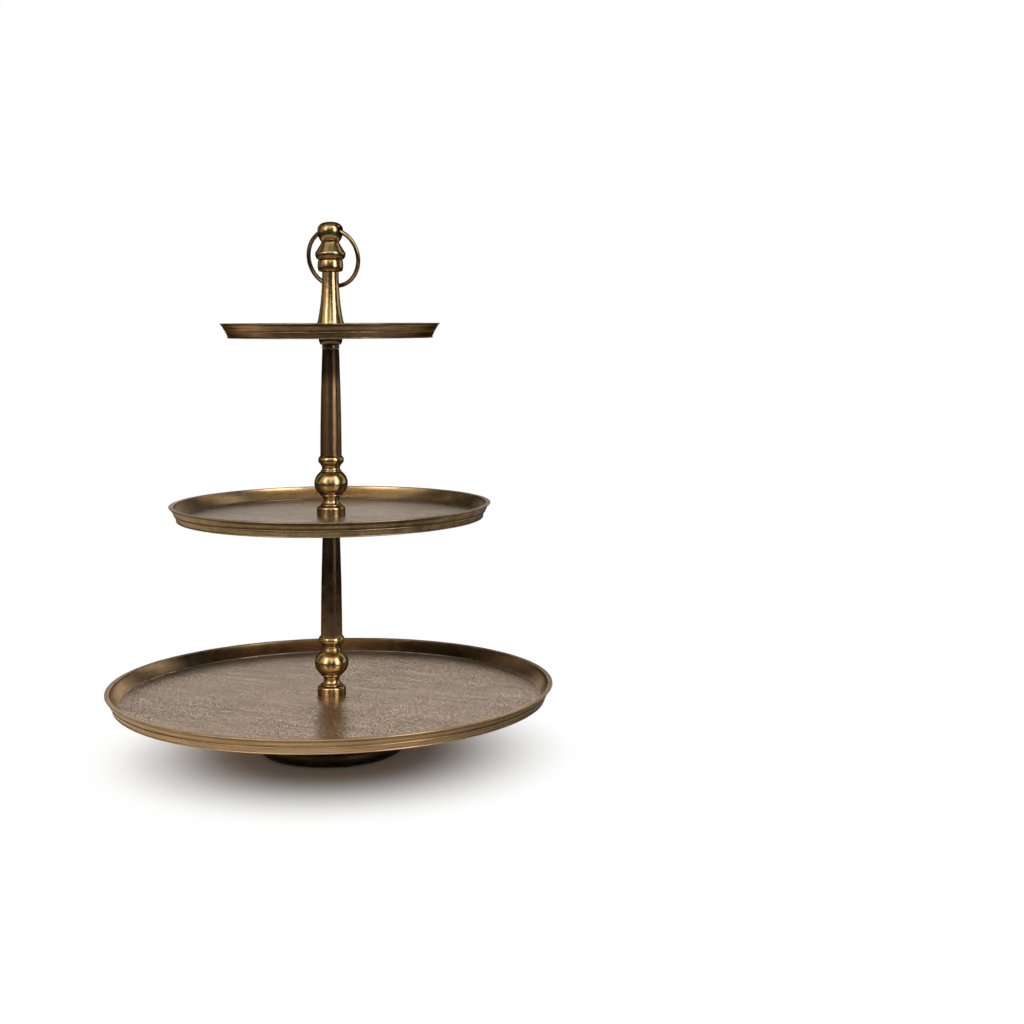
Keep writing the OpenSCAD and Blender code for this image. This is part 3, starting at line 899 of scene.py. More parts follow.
def finishes() -> dict[str, bpy.types.Material]:
    """Builds every finish once and lists them by the pieces that wear them.

    Returns:
        The materials by piece.
    """
    recipes: dict[str, CastBrass | PlatedSteel | Felt] = {
        "tray_large": TRAY_FINISH, "tray_middle": LIT_MIDDLE_TRAY_FINISH, "tray_top": SHADED_TOP_TRAY_FINISH, "polished": POLISHED_FINISH,
        "upper_shaft": SHAFT_FINISH, "lower_shaft": SHADED_LOW_SHAFT_FINISH, "fastener": PlatedSteel(),
        "capital": CAPITAL_FINISH, "pad": Felt(), "foot": SHADED_FOOT_FINISH, "ring": RING_FINISH,
    }
    return {piece: finish.material() for piece, finish in recipes.items()}


# The pieces of the stand


@dataclass
class Tray:
    """A round cast tray with a moulded wall, a cove and a beaded floor.

    Attributes hold sizes in millimetres, radii and heights above the underside. The painted shade, which stands in for
    shadow and dark reflections, is listed as pairs of a direction in degrees, from the camera's side round to its
    right, and a strength. The line share weakens the dark lines in the wall's hollows, the low share is the strength
    of the outer wall's painted shade below its fillet. The reach, here and in the other pieces, is the length of
    outline that a point is compared with to find hollows and edges.
    """

    node: str
    radius: float
    seat_r: float
    steps: int
    inside_painted_shade: Marks
    outside_painted_shade: Marks
    lip_painted_shade: Marks = ((-90, 0.35), (-60, 0.0), (60, 0.0), (95, 0.6), (130, 1.0), (-125, 1.0))
    line_share: float = 1.0
    low_share: float = 1.0
    height: float = 17.0
    floor_t: float = 3.0
    lip_w: float = 4.8
    lip_t: float = 1.5
    lip_groove: float = 1.9
    wall_rake: float = 9.2
    wall_step: float = 5.6
    wall_band_h: float = 6.8
    wall_fillet_r: float = 0.6
    edge_bead_r: float = 0.9
    cove_w: float = 9.0
    floor_bead_r: float = 1.0
    seat_depth: float = 0.5
    hole_r: float = 4.3
    groove_h: float = 0.8
    cyma_edge: float = 0.25
    cyma_swell: float = 0.06
    cove_power: float = 1.35
    reach: float = 0.9
    waves: Waves = Waves(0.3, 20.0)

    def outline(self) -> Outline:
        """Draws the section of the tray.

        Returns:
            The closed outline.
        """
        r = self.radius
        foot = r - self.wall_rake
        fillet = r - self.wall_step - self.wall_fillet_r
        fillet_z = self.wall_band_h + self.wall_fillet_r
        cyma_z = fillet_z + self.wall_fillet_r
        groove_z = self.height - self.lip_t - self.groove_h
        edge = self.lip_t / 2
        cove_top = self.height - edge
        cove_h = cove_top - self.floor_t - self.floor_bead_r
        cove_foot = r - self.lip_w - self.cove_w
        swell_end = r - self.lip_groove + 2 * self.cyma_edge
        points: list[Point] = [(self.hole_r, 0)]
        points += arc(foot, self.edge_bead_r, self.edge_bead_r, self.edge_bead_r, -90, 60, 12)
        points += [(foot + self.wall_fillet_r, 2.2 * self.edge_bead_r),
                   (fillet - self.wall_fillet_r, self.wall_band_h - self.wall_fillet_r)]
        points += arc(fillet, fillet_z, self.wall_fillet_r, self.wall_fillet_r, -90, 90, 10)
        points += [(fillet + (swell_end - fillet) * (t + self.cyma_swell * math.sin(math.tau * t)),
                    cyma_z + (groove_z - cyma_z) * t) for t in shares(16)]
        points += [(r - self.lip_groove, groove_z + self.cyma_edge),
                   (r - self.lip_groove, self.height - self.lip_t - self.cyma_edge / 2)]
        points += arc(r - edge, self.height - edge, edge, edge, -90, 90, 12)
        points += arc(r - self.lip_w, self.height - edge, edge, edge, 90, 180, 8)
        points += [(r - self.lip_w - edge - (self.cove_w - edge) * t ** self.cove_power, cove_top - cove_h * t)
                   for t in shares(22, 1)]
        points += arc(cove_foot - self.floor_bead_r, self.floor_t, self.floor_bead_r, self.floor_bead_r, 60, 180, 10)
        points += [(self.seat_r, self.floor_t), (self.seat_r, self.floor_t - self.seat_depth),
                   (self.hole_r, self.floor_t - self.seat_depth)]
        return Outline(tuple(points), closed=True).refined(pitch=0.7, far=9.0)

    @staticmethod
    def painted_shade(around: np.ndarray, marks: Marks) -> np.ndarray:
        """Strength of the painted shade in each direction, standing in for shadow and dark reflections.

        Args:
            around: Directions in degrees.
            marks: Pairs of a direction and a strength.

        Returns:
            The strengths, blended between the marks.
        """
        ways, strengths = zip(*sorted(marks))
        return np.interp(around, ways, strengths, period=360)

    def build(self, finish: bpy.types.Material) -> None:
        """Turns, dresses and hands in the tray.

        Args:
            finish: Its material.
        """
        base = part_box(self.node)[0].z
        obj = turn(f"{self.node}_casting", self.outline(), base, self.steps, self.reach,
                   self.line_share)
        self.mark_zones(obj, base)
        sink_waves(obj, self.waves)
        hand_in(obj, finish, Slot.TRAY, STAND, self.node)

    def mark_zones(self, obj: bpy.types.Object, base: float) -> None:
        """Paints the floor zone, and the painted shade of the inner wall, the outer wall and the lip.

        Args:
            obj: The turned tray.
            base: Height of the tray's underside in metres.
        """
        fade, lip_margin, under_lip = 2 * MM, 0.6, self.lip_t + 0.4
        wall_in, wall_slope = self.wall_rake + 4, 0.6  # a cone in the wall's metal, between its two sides
        co = vertices_of(obj)
        radii, heights = np.hypot(co[:, 0], co[:, 1]), co[:, 2] - base
        inner = (self.radius - self.lip_w - self.cove_w) * MM - radii
        paint_layer(obj, Layer.FLOOR, np.clip(inner / fade, 0, 1) * (heights > self.floor_t / 2 * MM))
        around = np.degrees(np.arctan2(co[:, 0], -co[:, 1])) - FRONT
        outer_wall = (radii > (self.radius - wall_in) * MM + wall_slope * heights) & (
            heights < (self.height - under_lip) * MM)
        lip = (radii > (self.radius - self.lip_w - lip_margin) * MM) & ~outer_wall
        low_band = np.where(heights < self.wall_band_h * MM, self.low_share, 1.0)
        # painted shade by direction from the camera, for shadow and dark reflections
        marks = np.where(outer_wall, self.painted_shade(around, self.outside_painted_shade) * low_band,
                         self.painted_shade(around, self.inside_painted_shade))
        marks = np.where(lip, self.painted_shade(around, self.lip_painted_shade), marks)
        paint_layer(obj, Layer.PAINTED_SHADE, marks * (inner < fade))


@dataclass
class Column:
    """One column: a turned baluster, a tapered shaft and a capital, in millimetres.

    The top painted shade is the strength of the painted shade that darkens the shaft under its capital, where the tray
    above shades it. It starts at one share of the shaft's height and is full at another.
    """

    level: str
    top_painted_shade: float
    flange_r: float = 16.0
    flange_h: float = 10.4
    flange_round: float = 3.2
    ring_bead_r: float = 12.4
    ring_bead_h: float = 1.8
    lower_neck_r: float = 8.9
    lower_neck_h: float = 9.4
    ball_r: float = 19.0
    ball_low_h: float = 12.2
    ball_high_h: float = 13.3
    upper_neck_r: float = 10.3
    upper_neck_h: float = 7.4
    collar_r: float = 14.6
    collar_h: float = 8.0
    collar_fillet_h: float = 1.0
    collar_angle: float = 75.0
    shaft_low_r: float = 12.15
    shaft_high_r: float = 9.65
    shaft_bore_r: float = 6.5
    capital_r: float = 13.5
    capital_neck_r: float = 9.75
    capital_h: float = 12.0
    capital_ring_h: float = 1.6
    echinus_h: float = 6.8
    abacus_h: float = 1.1
    spigot_r: float = 6.35
    spigot_h: float = 5.0
    seat_depth: float = 0.5
    thread_r: float = 4.1
    thread_depth: float = 16.0
    plain_hole_r: float = 4.3
    waist_power: float = 0.75
    neck_share: float = 0.35
    neck_fall: float = 2.0
    neck_rise: float = 1.6
    taper_power: float = 1.7
    lip_angle: float = 5.0
    steps: int = 144
    reach: float = 1.1
    painted_shade_start: float = 0.64
    painted_shade_full: float = 0.78

    def neck_radius(self, t: float, low: float, high: float) -> float:
        """Radius of the upper neck.

        Args:
            t: Share of the neck's height.
            low: Radius at its foot.
            high: Radius under the collar.

        Returns:
            The radius at that height.
        """
        waist = self.upper_neck_r
        if t < self.neck_share:
            return waist + (low - waist) * (1 - t / self.neck_share) ** self.neck_fall
        return waist + (high - waist) * ((t - self.neck_share) / (1 - self.neck_share)) ** self.neck_rise

    def baluster_outline(self) -> Outline:
        """Draws the baluster: flange, lower neck, ball between two rings, upper neck and collar.

        Returns:
            The outline from axis to axis.
        """
        foot_z = self.flange_h + self.ring_bead_h
        ball_foot_z = foot_z + self.lower_neck_h
        ball_z = ball_foot_z + self.ring_bead_h + self.ball_low_h
        ball_top_z = ball_z + self.ball_high_h
        neck_z = ball_top_z + self.ring_bead_h
        collar_z = neck_z + self.upper_neck_h
        top_z = collar_z + self.collar_h + self.collar_fillet_h
        edge_r = self.ring_bead_r - self.ring_bead_h / 2
        top_ring_r = (self.upper_neck_r + self.ring_bead_r) / 2 + self.ring_bead_h / 3
        inner_r = self.shaft_low_r + SEAM / 2
        points: list[Point] = [(0, self.thread_depth), (self.thread_r, self.thread_depth),
                               (self.thread_r, -self.seat_depth), (self.flange_r - SEAM, -self.seat_depth),
                               (self.flange_r, SEAM - self.seat_depth)]
        points += arc(self.flange_r - self.flange_round, self.flange_h - self.flange_round,
                      self.flange_round, self.flange_round, 0, 90, 12)
        points += bead(self.ring_bead_r, self.flange_h, foot_z)
        points += [(edge_r - (edge_r - self.lower_neck_r) * math.sin(math.pi * t) ** self.waist_power,
                    foot_z + self.lower_neck_h * t) for t in shares(24, 1)[:-1]]
        points += bead(self.ring_bead_r, ball_foot_z, ball_foot_z + self.ring_bead_h)
        points += ball_part(self.ball_r, self.ring_bead_r, ball_z, self.ball_low_h, upper=False)
        points += ball_part(self.ball_r, self.ring_bead_r, ball_z, self.ball_high_h, upper=True)
        points += bead(top_ring_r, ball_top_z, neck_z)
        points += [(self.neck_radius(t, top_ring_r - self.ring_bead_h / 2, inner_r + SEAM),
                    neck_z + self.upper_neck_h * t) for t in shares(24)]
        points += arc(inner_r, collar_z + self.collar_h / 2, self.collar_r - inner_r, self.collar_h / 2,
                      -self.collar_angle, self.collar_angle, 24)
        points += [(inner_r + SEAM, collar_z + self.collar_h), (inner_r + SEAM, top_z - SEAM), (inner_r, top_z),
                   (self.spigot_r, top_z), (self.spigot_r, top_z + self.spigot_h),
                   (self.thread_r, top_z + self.spigot_h), (self.thread_r, top_z - self.thread_depth),
                   (0, top_z - self.thread_depth)]
        return Outline(tuple(points), closed=False).refined(pitch=0.6, far=2.5)

    def shaft_outline(self, length: float) -> Outline:
        """Draws the shaft, a tapered tube.

        Args:
            length: Its length in millimetres.

        Returns:
            The closed outline.
        """
        low, high = self.shaft_low_r, self.shaft_high_r
        points: list[Point] = [(self.shaft_bore_r, 0), (low - SEAM, 0)]
        points += [(low - (low - high) * t ** self.taper_power, SEAM + (length - 2 * SEAM) * t) for t in shares(24)]
        points += [(high - SEAM, length), (self.shaft_bore_r, length)]
        return Outline(tuple(points), closed=True).refined(pitch=0.8, far=5.0)

    def capital_outline(self) -> Outline:
        """Draws the capital: ring, plain neck, flared echinus and edge.

        Returns:
            The closed outline.
        """
        neck_r, flare_z = self.capital_neck_r, self.capital_h - self.abacus_h
        points: list[Point] = [(self.plain_hole_r, -self.spigot_h), (self.spigot_r, -self.spigot_h),
                               (self.spigot_r, 0)]
        points += bead(neck_r + SEAM, 0, self.capital_ring_h)
        points += [(neck_r, self.capital_ring_h), (neck_r, flare_z - self.echinus_h)]
        points += arc(neck_r, flare_z, self.capital_r - neck_r, self.echinus_h, 2 * self.lip_angle - 90, 0, 20)
        points += [(self.capital_r - SEAM, self.capital_h), (self.plain_hole_r, self.capital_h)]
        return Outline(tuple(points), closed=True).refined(pitch=0.6, far=2.5)

    def build(self, polished: bpy.types.Material, dark: bpy.types.Material, plain: bpy.types.Material) -> None:
        """Turns, dresses and hands in the three pieces.

        Args:
            polished: Finish of the baluster.
            dark: Finish of the shaft.
            plain: Finish of the capital.
        """
        low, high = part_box(f"{self.level}_shaft")
        shaft_outline = self.shaft_outline((high.z - low.z) / MM)
        self.part("baluster", self.baluster_outline(), self.seat_depth, Waves(0.3, 9.0), polished, Slot.TURNED)
        self.part("shaft", shaft_outline, 0, Waves(0.2, 12.0), dark, Slot.SHAFT)
        self.part("capital", self.capital_outline(), self.spigot_h, Waves(0.2, 7.0), plain, Slot.TURNED)

    def darken_top(self, shaft: bpy.types.Object) -> None:
        """Paints shade under the capital, fading out about a third of the way down.

        Args:
            shaft: The turned shaft.
        """
        start, full = self.painted_shade_start, self.painted_shade_full
        heights = vertices_of(shaft)[:, 2]
        share = (heights - heights.min()) / np.ptp(heights)
        # painted shade under the capital, where the tray above shades the shaft
        paint_layer(shaft, Layer.PAINTED_SHADE, self.top_painted_shade * np.clip((share - start) / (full - start), 0, 1))

    def part(self, kind: str, outline: Outline, below: float, waves: Waves, finish: bpy.types.Material,
             slot: Slot) -> None:
        """Turns one piece of the column.

        Args:
            kind: Last word of the node's name.
            outline: Its outline.
            below: How far the outline reaches below its zero line, in millimetres.
            waves: Its casting waves.
            finish: Its material.
            slot: Its material slot.
        """
        node = f"{self.level}_{kind}"
        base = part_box(node)[0].z + below * MM
        obj = turn(f"{node}_turning", outline, base, self.steps, self.reach)
        if slot is Slot.SHAFT:
            self.darken_top(obj)
        sink_waves(obj, waves)
        hand_in(obj, finish, slot, STAND, node)


@dataclass
class Foot:
    """Round hollow foot with a rounded flange, a deep cove and a top band, in millimetres."""

    radius: float = 81.0
    height: float = 58.5
    flange_h: float = 14.5
    ledge: float = 4.5
    neck_r: float = 62.0
    top_r: float = 68.0
    top_band: float = 4.0
    plate_t: float = 7.0
    wall: float = 6.0
    rim_w: float = 18.0
    hole_r: float = 4.3
    lip_angle: float = 5.0
    steps: int = 256
    reach: float = 1.4
    waves: Waves = Waves(0.3, 15.0)

    def outline(self) -> Outline:
        """Draws the section of the foot from its hollow round to its top.

        Returns:
            The closed outline.
        """
        bulge = self.flange_h / 4
        ledge_r = self.radius - self.ledge
        band_z = self.height - self.top_band
        mid_z, half = (self.flange_h + band_z) / 2, (band_z - self.flange_h) / 2
        rim_r, inner_r = self.radius - self.rim_w, self.neck_r - self.wall
        roof_z = self.height - self.plate_t
        points: list[Point] = [(self.hole_r, roof_z), (inner_r - self.wall, roof_z), (inner_r, roof_z - self.wall),
                               (inner_r, self.flange_h * 1.5), (rim_r, self.flange_h / 2), (rim_r, 0)]
        points += arc(self.radius - bulge, self.flange_h / 2, bulge, self.flange_h / 2, -90, 90, 24)
        points += [(ledge_r, self.flange_h)]
        points += arc(ledge_r, mid_z, ledge_r - self.neck_r, half, 270 - self.lip_angle, 180, 24)
        points += arc(self.top_r - SEAM, mid_z, self.top_r - SEAM - self.neck_r, half,
                      180 - self.lip_angle, 90 + self.lip_angle, 24)
        points += [(self.top_r, band_z), (self.top_r, self.height - SEAM), (self.top_r - SEAM, self.height),
                   (self.hole_r, self.height)]
        return Outline(tuple(points), closed=True).refined(pitch=0.9, far=4.0)

    def build(self, finish: bpy.types.Material) -> None:
        """Turns, dresses and hands in the foot.

        Args:
            finish: Its material.
        """
        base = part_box("foot")[0].z
        obj = turn("foot_casting", self.outline(), base, self.steps, self.reach)
        sink_waves(obj, self.waves)
        hand_in(obj, finish, Slot.FOOT, STAND, "foot")


@dataclass
class Finial:
    """Finial casting: base, trumpet stem, two beads, cone, neck and a pierced ball, in millimetres."""

    foot_r: float = 15.9
    base_r: float = 17.9
    base_h: float = 8.8
    stem_low_r: float = 14.4
    stem_high_r: float = 9.55
    stem_start_h: float = 17.0
    stem_h: float = 55.0
    low_bead_r: float = 14.6
    low_bead_h: float = 13.3
    low_bead_share: float = 0.471
    high_bead_r: float = 17.4
    high_bead_h: float = 8.0
    cone_h: float = 12.4
    neck_r: float = 10.1
    ball_r: float = 14.7
    ball_low_h: float = 12.5
    ball_high_h: float = 10.6
    ball_top_power: float = 0.833
    shoulder: float = 2.4
    waist_depth: float = 1.15
    seat_depth: float = 0.5
    thread_r: float = 4.1
    thread_depth: float = 16.0
    hole_r: float = 4.657
    hole_half: float = 13.3
    sink_depth: float = 2.4
    sink_share: float = 1.45
    base_power: float = 0.7
    stem_power: float = 2.2
    cone_power: float = 1.08
    steps: int = 160
    hole_steps: int = 64
    reach: float = 1.1
    waves: Waves = Waves(0.3, 12.0)

    def outline(self) -> Outline:
        """Draws the section of the finial without its cross hole.

        Returns:
            The outline from axis to axis.
        """
        knob_z = self.stem_start_h + self.stem_h
        waist_z = knob_z + self.low_bead_h
        rim_z = waist_z + self.high_bead_h
        neck_z = rim_z + self.cone_h
        ball_z = neck_z + self.ball_low_h
        shoulder_r = self.stem_high_r + self.shoulder
        waist_r = self.low_bead_r - self.waist_depth
        mid_z = knob_z + self.low_bead_h * self.low_bead_share
        points: list[Point] = [(0, self.thread_depth), (self.thread_r, self.thread_depth),
                               (self.thread_r, -self.seat_depth), (self.base_r, -self.seat_depth),
                               (self.base_r, 0), (self.foot_r, 0)]
        points += arc(self.foot_r, self.base_h, self.base_r - self.foot_r, self.base_h - SEAM, -90, 0, 18)
        points += [(self.base_r - (self.base_r - self.stem_low_r) * t ** self.base_power,
                    self.base_h + (self.stem_start_h - self.base_h) * t) for t in shares(12, 1)[:-1]]
        points += [(self.stem_high_r + (self.stem_low_r - self.stem_high_r) * (1 - t) ** self.stem_power,
                    self.stem_start_h + self.stem_h * t) for t in shares(30)]
        points += arc(shoulder_r, mid_z, self.low_bead_r - shoulder_r, mid_z - knob_z, -85, 0, 18)
        points += arc(waist_r, mid_z, self.low_bead_r - waist_r, waist_z - mid_z, 10, 90, 12)
        points += arc(waist_r, rim_z - SEAM, self.high_bead_r - waist_r, self.high_bead_h - 2 * SEAM, -70, 0, 18)
        points += [(self.neck_r + (self.high_bead_r - self.neck_r) * (1 - t) ** self.cone_power,
                    rim_z + (self.cone_h - SEAM) * t) for t in shares(18, 1)]
        points += ball_part(self.ball_r, self.neck_r, ball_z, self.ball_low_h, upper=False)
        points += [(r ** self.ball_top_power * self.ball_r, ball_z + h ** self.ball_top_power * self.ball_high_h)
                   for r, h in arc(0, 0, 1, 1, 3, 87, 28)] + [(0, ball_z + self.ball_high_h)]
        return Outline(tuple(points), closed=False).refined(pitch=0.6, far=2.5)

    def drill(self, obj: bpy.types.Object, height: float) -> None:
        """Drills the cross hole for the ring, with countersunk mouths.

        Args:
            obj: The turned finial.
            height: Height of the hole's axis in metres.
        """
        bpy.ops.object.select_all(action="DESELECT")
        bpy.ops.mesh.primitive_cylinder_add(vertices=self.hole_steps, radius=self.hole_r * MM,
                                            depth=2 * self.hole_half * MM, location=(0, 0, height),
                                            rotation=(0, math.pi / 2, 0))
        cutter = settle(bpy.context.active_object, "hole_cutter")
        for side in (-1, 1):
            bpy.ops.object.mode_set(mode="EDIT")
            bpy.ops.mesh.select_all(action="DESELECT")
            bpy.ops.object.mode_set(mode="OBJECT")
            for face in cutter.data.polygons:
                face.select = face.normal.x * side > 0.9
            bpy.ops.object.mode_set(mode="EDIT")
            bpy.ops.mesh.extrude_region_move(TRANSFORM_OT_translate={"value": (side * self.sink_depth * MM, 0, 0)})
            bpy.ops.transform.resize(value=(1, self.sink_share, self.sink_share),
                                     center_override=(side * (self.hole_half + self.sink_depth) * MM, 0, height))
            bpy.ops.object.mode_set(mode="OBJECT")
        only(obj)
        cut = obj.modifiers.new("cross_hole", "BOOLEAN")
        cut.operation, cut.object, cut.solver = "DIFFERENCE", cutter, "EXACT"
        apply_all(obj)
        bpy.data.objects.remove(cutter)

    def build(self, finish: bpy.types.Material) -> None:
        """Turns, drills, dresses and hands in the finial.

        Args:
            finish: Its material.
        """
        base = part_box("finial")[0].z + self.seat_depth * MM
        obj = turn("finial_casting", self.outline(), base, self.steps, self.reach)
        sink_waves(obj, self.waves)
        ball_z = self.stem_start_h + self.stem_h + self.low_bead_h + self.high_bead_h + self.cone_h + self.ball_low_h
        self.drill(obj, base + ball_z * MM)
        hand_in(obj, finish, Slot.FINIAL, STAND, "finial")


@dataclass
class HandleRing:
    """Loose ring of bent wire that leans back against the stem, in millimetres and degrees."""

    radius: float = 32.5
    wire_r: float = 2.5
    sag: float = 1.758
    lean: float = 11.6016
    steps: int = 192
    wire_steps: int = 40
    waves: Waves = Waves(0.12, 6.0)

    def build(self, finish: bpy.types.Material) -> None:
        """Bends, leans, dresses and hands in the ring.

        Args:
            finish: Its material.
        """
        hinge = Vector(frame["joints"][0]["pos_m"])
        bpy.ops.object.select_all(action="DESELECT")
        bpy.ops.mesh.primitive_torus_add(major_segments=self.steps, minor_segments=self.wire_steps,
                                         major_radius=self.radius * MM, minor_radius=self.wire_r * MM,
                                         location=(0, 0, 0), rotation=(math.pi / 2, 0, 0))
        obj = settle(bpy.context.active_object, "ring_wire")
        drop = Matrix.Translation((0, 0, (self.sag - self.radius) * MM))
        obj.matrix_world = Matrix.Translation(hinge) @ Matrix.Rotation(math.radians(self.lean), 4, "X") @ drop
        settle(obj, "ring_wire")
        sink_waves(obj, self.waves)
        hand_in(obj, finish, Slot.RING, HANDLE, "ring")


@dataclass
class Fasteners:
    """The hidden bolt, washer and rods, and the pads under the foot, which keep their solids."""

    steel_nodes: tuple[str, ...] = ("base_bolt", "base_washer", "lower_tie_rod", "upper_tie_rod")
    pad_nodes: tuple[str, ...] = ("foot_pad_1", "foot_pad_2", "foot_pad_3", "foot_pad_4")

    def dress(self, steel: bpy.types.Material, felt: bpy.types.Material) -> None:
        """Gives the solids their two finishes.

        Args:
            steel: Finish of the bolt, washer and rods.
            felt: Finish of the pads.
        """
        for names, material in ((self.steel_nodes, steel), (self.pad_nodes, felt)):
            for name in names:
                dress_in(frame["nodes"][name], material)
                LOG.info("%s: keeps its solid, dressed in %s", name, material.name)


# Studio


@dataclass(frozen=True)
class Softbox:
    """A bright window of the studio as the metal shows it.

    Attributes:
        turn: Direction in degrees from the camera's side, positive to the camera's right.
        half_width: Half of its width in degrees.
        rise: Height above the horizon in degrees.
        half_height: Half of its height in degrees.
        strength: Brightness.
        tint: Colour of its light.
    """

    turn: float
    half_width: float
    rise: float
    half_height: float
    strength: float
    tint: Color = WHITE


@dataclass(frozen=True)
class Lamp:
    """A square area lamp that lights the floor and draws the soft shadow.

    Attributes:
        name: Its name.
        right: Place to the camera's right of the stand in metres.
        ahead: Place behind the stand, seen from the camera, in metres.
        up: Height in metres.
        size: Its side in metres.
        power: Its power in watts.
    """

    name: str
    right: float
    ahead: float
    up: float
    size: float
    power: float


@dataclass
class Studio:
    """Camera, lamps, pale floor and background.

    The camera's distance, place aside, eye height and clipping are in metres, its lens and sensor in millimetres, its
    azimuth and roll in degrees, the horizon in pixels from the picture's top. The dome is the light on everything but
    the metal, which sees the room, a backdrop behind the stand, a ceiling and the softboxes. The edges of backdrop and
    ceiling are pairs of parts of the view's direction, the floor's fades are pairs of distances in metres.
    """

    azimuth: float = FRONT
    distance: float = 1.800
    aside: float = 0.2054
    eye: float = 0.4864
    lens: float = 55.9
    sensor: float = 36.0
    near: float = 0.05
    far: float = 60.0
    horizon: float = 319.4
    frame_px: float = 1024.0
    roll: float = 0.19
    lamps: tuple[Lamp, ...] = (
        Lamp("top_lamp", -0.6, 0.1, 2.2, 1.6, 22.0),
        Lamp("left_lamp", -1.9, -1.0, 1.4, 1.2, 6.0),
    )
    lamp_aim: float = 0.25
    softboxes: tuple[Softbox, ...] = (
        Softbox(-48, 34, 36, 31, 0.75, (1.0, 0.93, 0.84)),
        Softbox(12, 34, 42, 26, 0.50, (1.0, 0.95, 0.88)),
        Softbox(-2, 34, 47, 9, 2.0, (1.0, 0.96, 0.9)),
        Softbox(-118, 9, 22, 24, 0.5, (1.0, 0.9, 0.78)),
        Softbox(120, 9, 22, 26, 0.9),
        Softbox(-80, 16, 0, 9, 0.45, (1.0, 0.75, 0.55)),
        Softbox(102, 8, 0, 12, 0.9),
        Softbox(-38, 9, 28, 19, 4.2, (1.0, 0.95, 0.87)),
        Softbox(5, 3, 30, 18, 3.2),
        Softbox(48, 12, 26, 28, 4.6),
    )
    dome: float = 0.57
    room: float = 0.04
    backdrop: float = 0.96
    ceiling: float = 0.22
    backdrop_side: tuple[float, float] = (0.78, 0.94)
    backdrop_foot: tuple[float, float] = (0.02, 0.12)
    backdrop_top: tuple[float, float] = (0.5, 0.9)
    ceiling_rise: tuple[float, float] = (0.75, 0.98)
    floor_r: float = 6.0
    paper: Color = (0.87, 0.845, 0.815)
    paper_fade: tuple[float, float] = (0.10, 0.29)
    room_fade: tuple[float, float] = (0.7, 1.3)

    def forward(self) -> Vector:
        """Level direction in which the camera looks."""
        a = math.radians(self.azimuth)
        return Vector((-math.sin(a), math.cos(a), 0))

    def spot(self, right: float, ahead: float, up: float) -> Vector:
        """Place given from the camera's point of view, about the stand's axis."""
        f = self.forward()
        return Vector((f.y, -f.x, 0)) * right + f * ahead + Vector((0, 0, up))

    @staticmethod
    def place(name: str, data: bpy.types.ID, where: Vector) -> bpy.types.Object:
        """Puts a camera or lamp into the scene.

        Args:
            name: Its name.
            data: Its camera or lamp data.
            where: Its place in metres.

        Returns:
            The new object.
        """
        obj = bpy.data.objects.new(name, data)
        bpy.context.scene.collection.objects.link(obj)
        obj.location = where
        return obj

    def set_camera(self) -> None:
        """Places the level camera of the photograph."""
        data = bpy.data.cameras.new("camera")
        data.sensor_width, data.lens = self.sensor, self.lens
        data.shift_y = (self.horizon - self.frame_px / 2) / self.frame_px
        data.clip_start, data.clip_end = self.near, self.far
        camera = self.place("camera", data, self.spot(self.aside, -self.distance, self.eye))
        camera.rotation_euler = (math.pi / 2, math.radians(self.roll), math.radians(self.azimuth))
        bpy.context.scene.camera = camera

    def set_lamps(self) -> None:
        """Hangs the lamps, which the metal does not show, facing the middle of the stand."""
        for lamp in self.lamps:
            data = bpy.data.lights.new(lamp.name, "AREA")
            data.shape, data.size, data.energy = "SQUARE", lamp.size, lamp.power
            where = self.spot(lamp.right, lamp.ahead, lamp.up)
            obj = self.place(lamp.name, data, where)
            obj.rotation_euler = (Vector((0, 0, self.lamp_aim)) - where).to_track_quat("-Z", "Y").to_euler()
            obj.visible_glossy = False

    def set_floor(self) -> None:
        """Lays the pale floor, which fades into the white background and, in the metal, into the dark room."""
        bpy.ops.object.select_all(action="DESELECT")
        bpy.ops.mesh.primitive_circle_add(vertices=96, radius=self.floor_r, fill_type="NGON", location=(0, 0, 0))
        floor = settle(bpy.context.active_object, "studio_floor")
        material = bpy.data.materials.new("pale_floor")
        b = empty_bench(material)
        length = b.length(b.place())
        path = b.add("ShaderNodeLightPath").outputs
        clear = b.math("MAXIMUM", path["Is Camera Ray"], path["Is Transmission Ray"])
        paper = b.add("ShaderNodeBsdfDiffuse", {"Color": rgba(self.paper)})
        white = b.add("ShaderNodeEmission", {"Color": rgba(WHITE), "Strength": 1.0})
        dark = b.add("ShaderNodeEmission", {"Color": rgba((self.room,) * 3), "Strength": 1.0})
        seen = b.add("ShaderNodeMixShader", {0: b.times(clear, b.ramp(length, *self.paper_fade)), 1: paper.outputs[0],
                                             2: white.outputs[0]})
        both = b.add("ShaderNodeMixShader", {0: b.times(path["Is Glossy Ray"], b.ramp(length, *self.room_fade)),
                                             1: seen.outputs[0], 2: dark.outputs[0]})
        b.add("ShaderNodeOutputMaterial", {"Surface": both.outputs[0]})
        dress_in(floor, material)

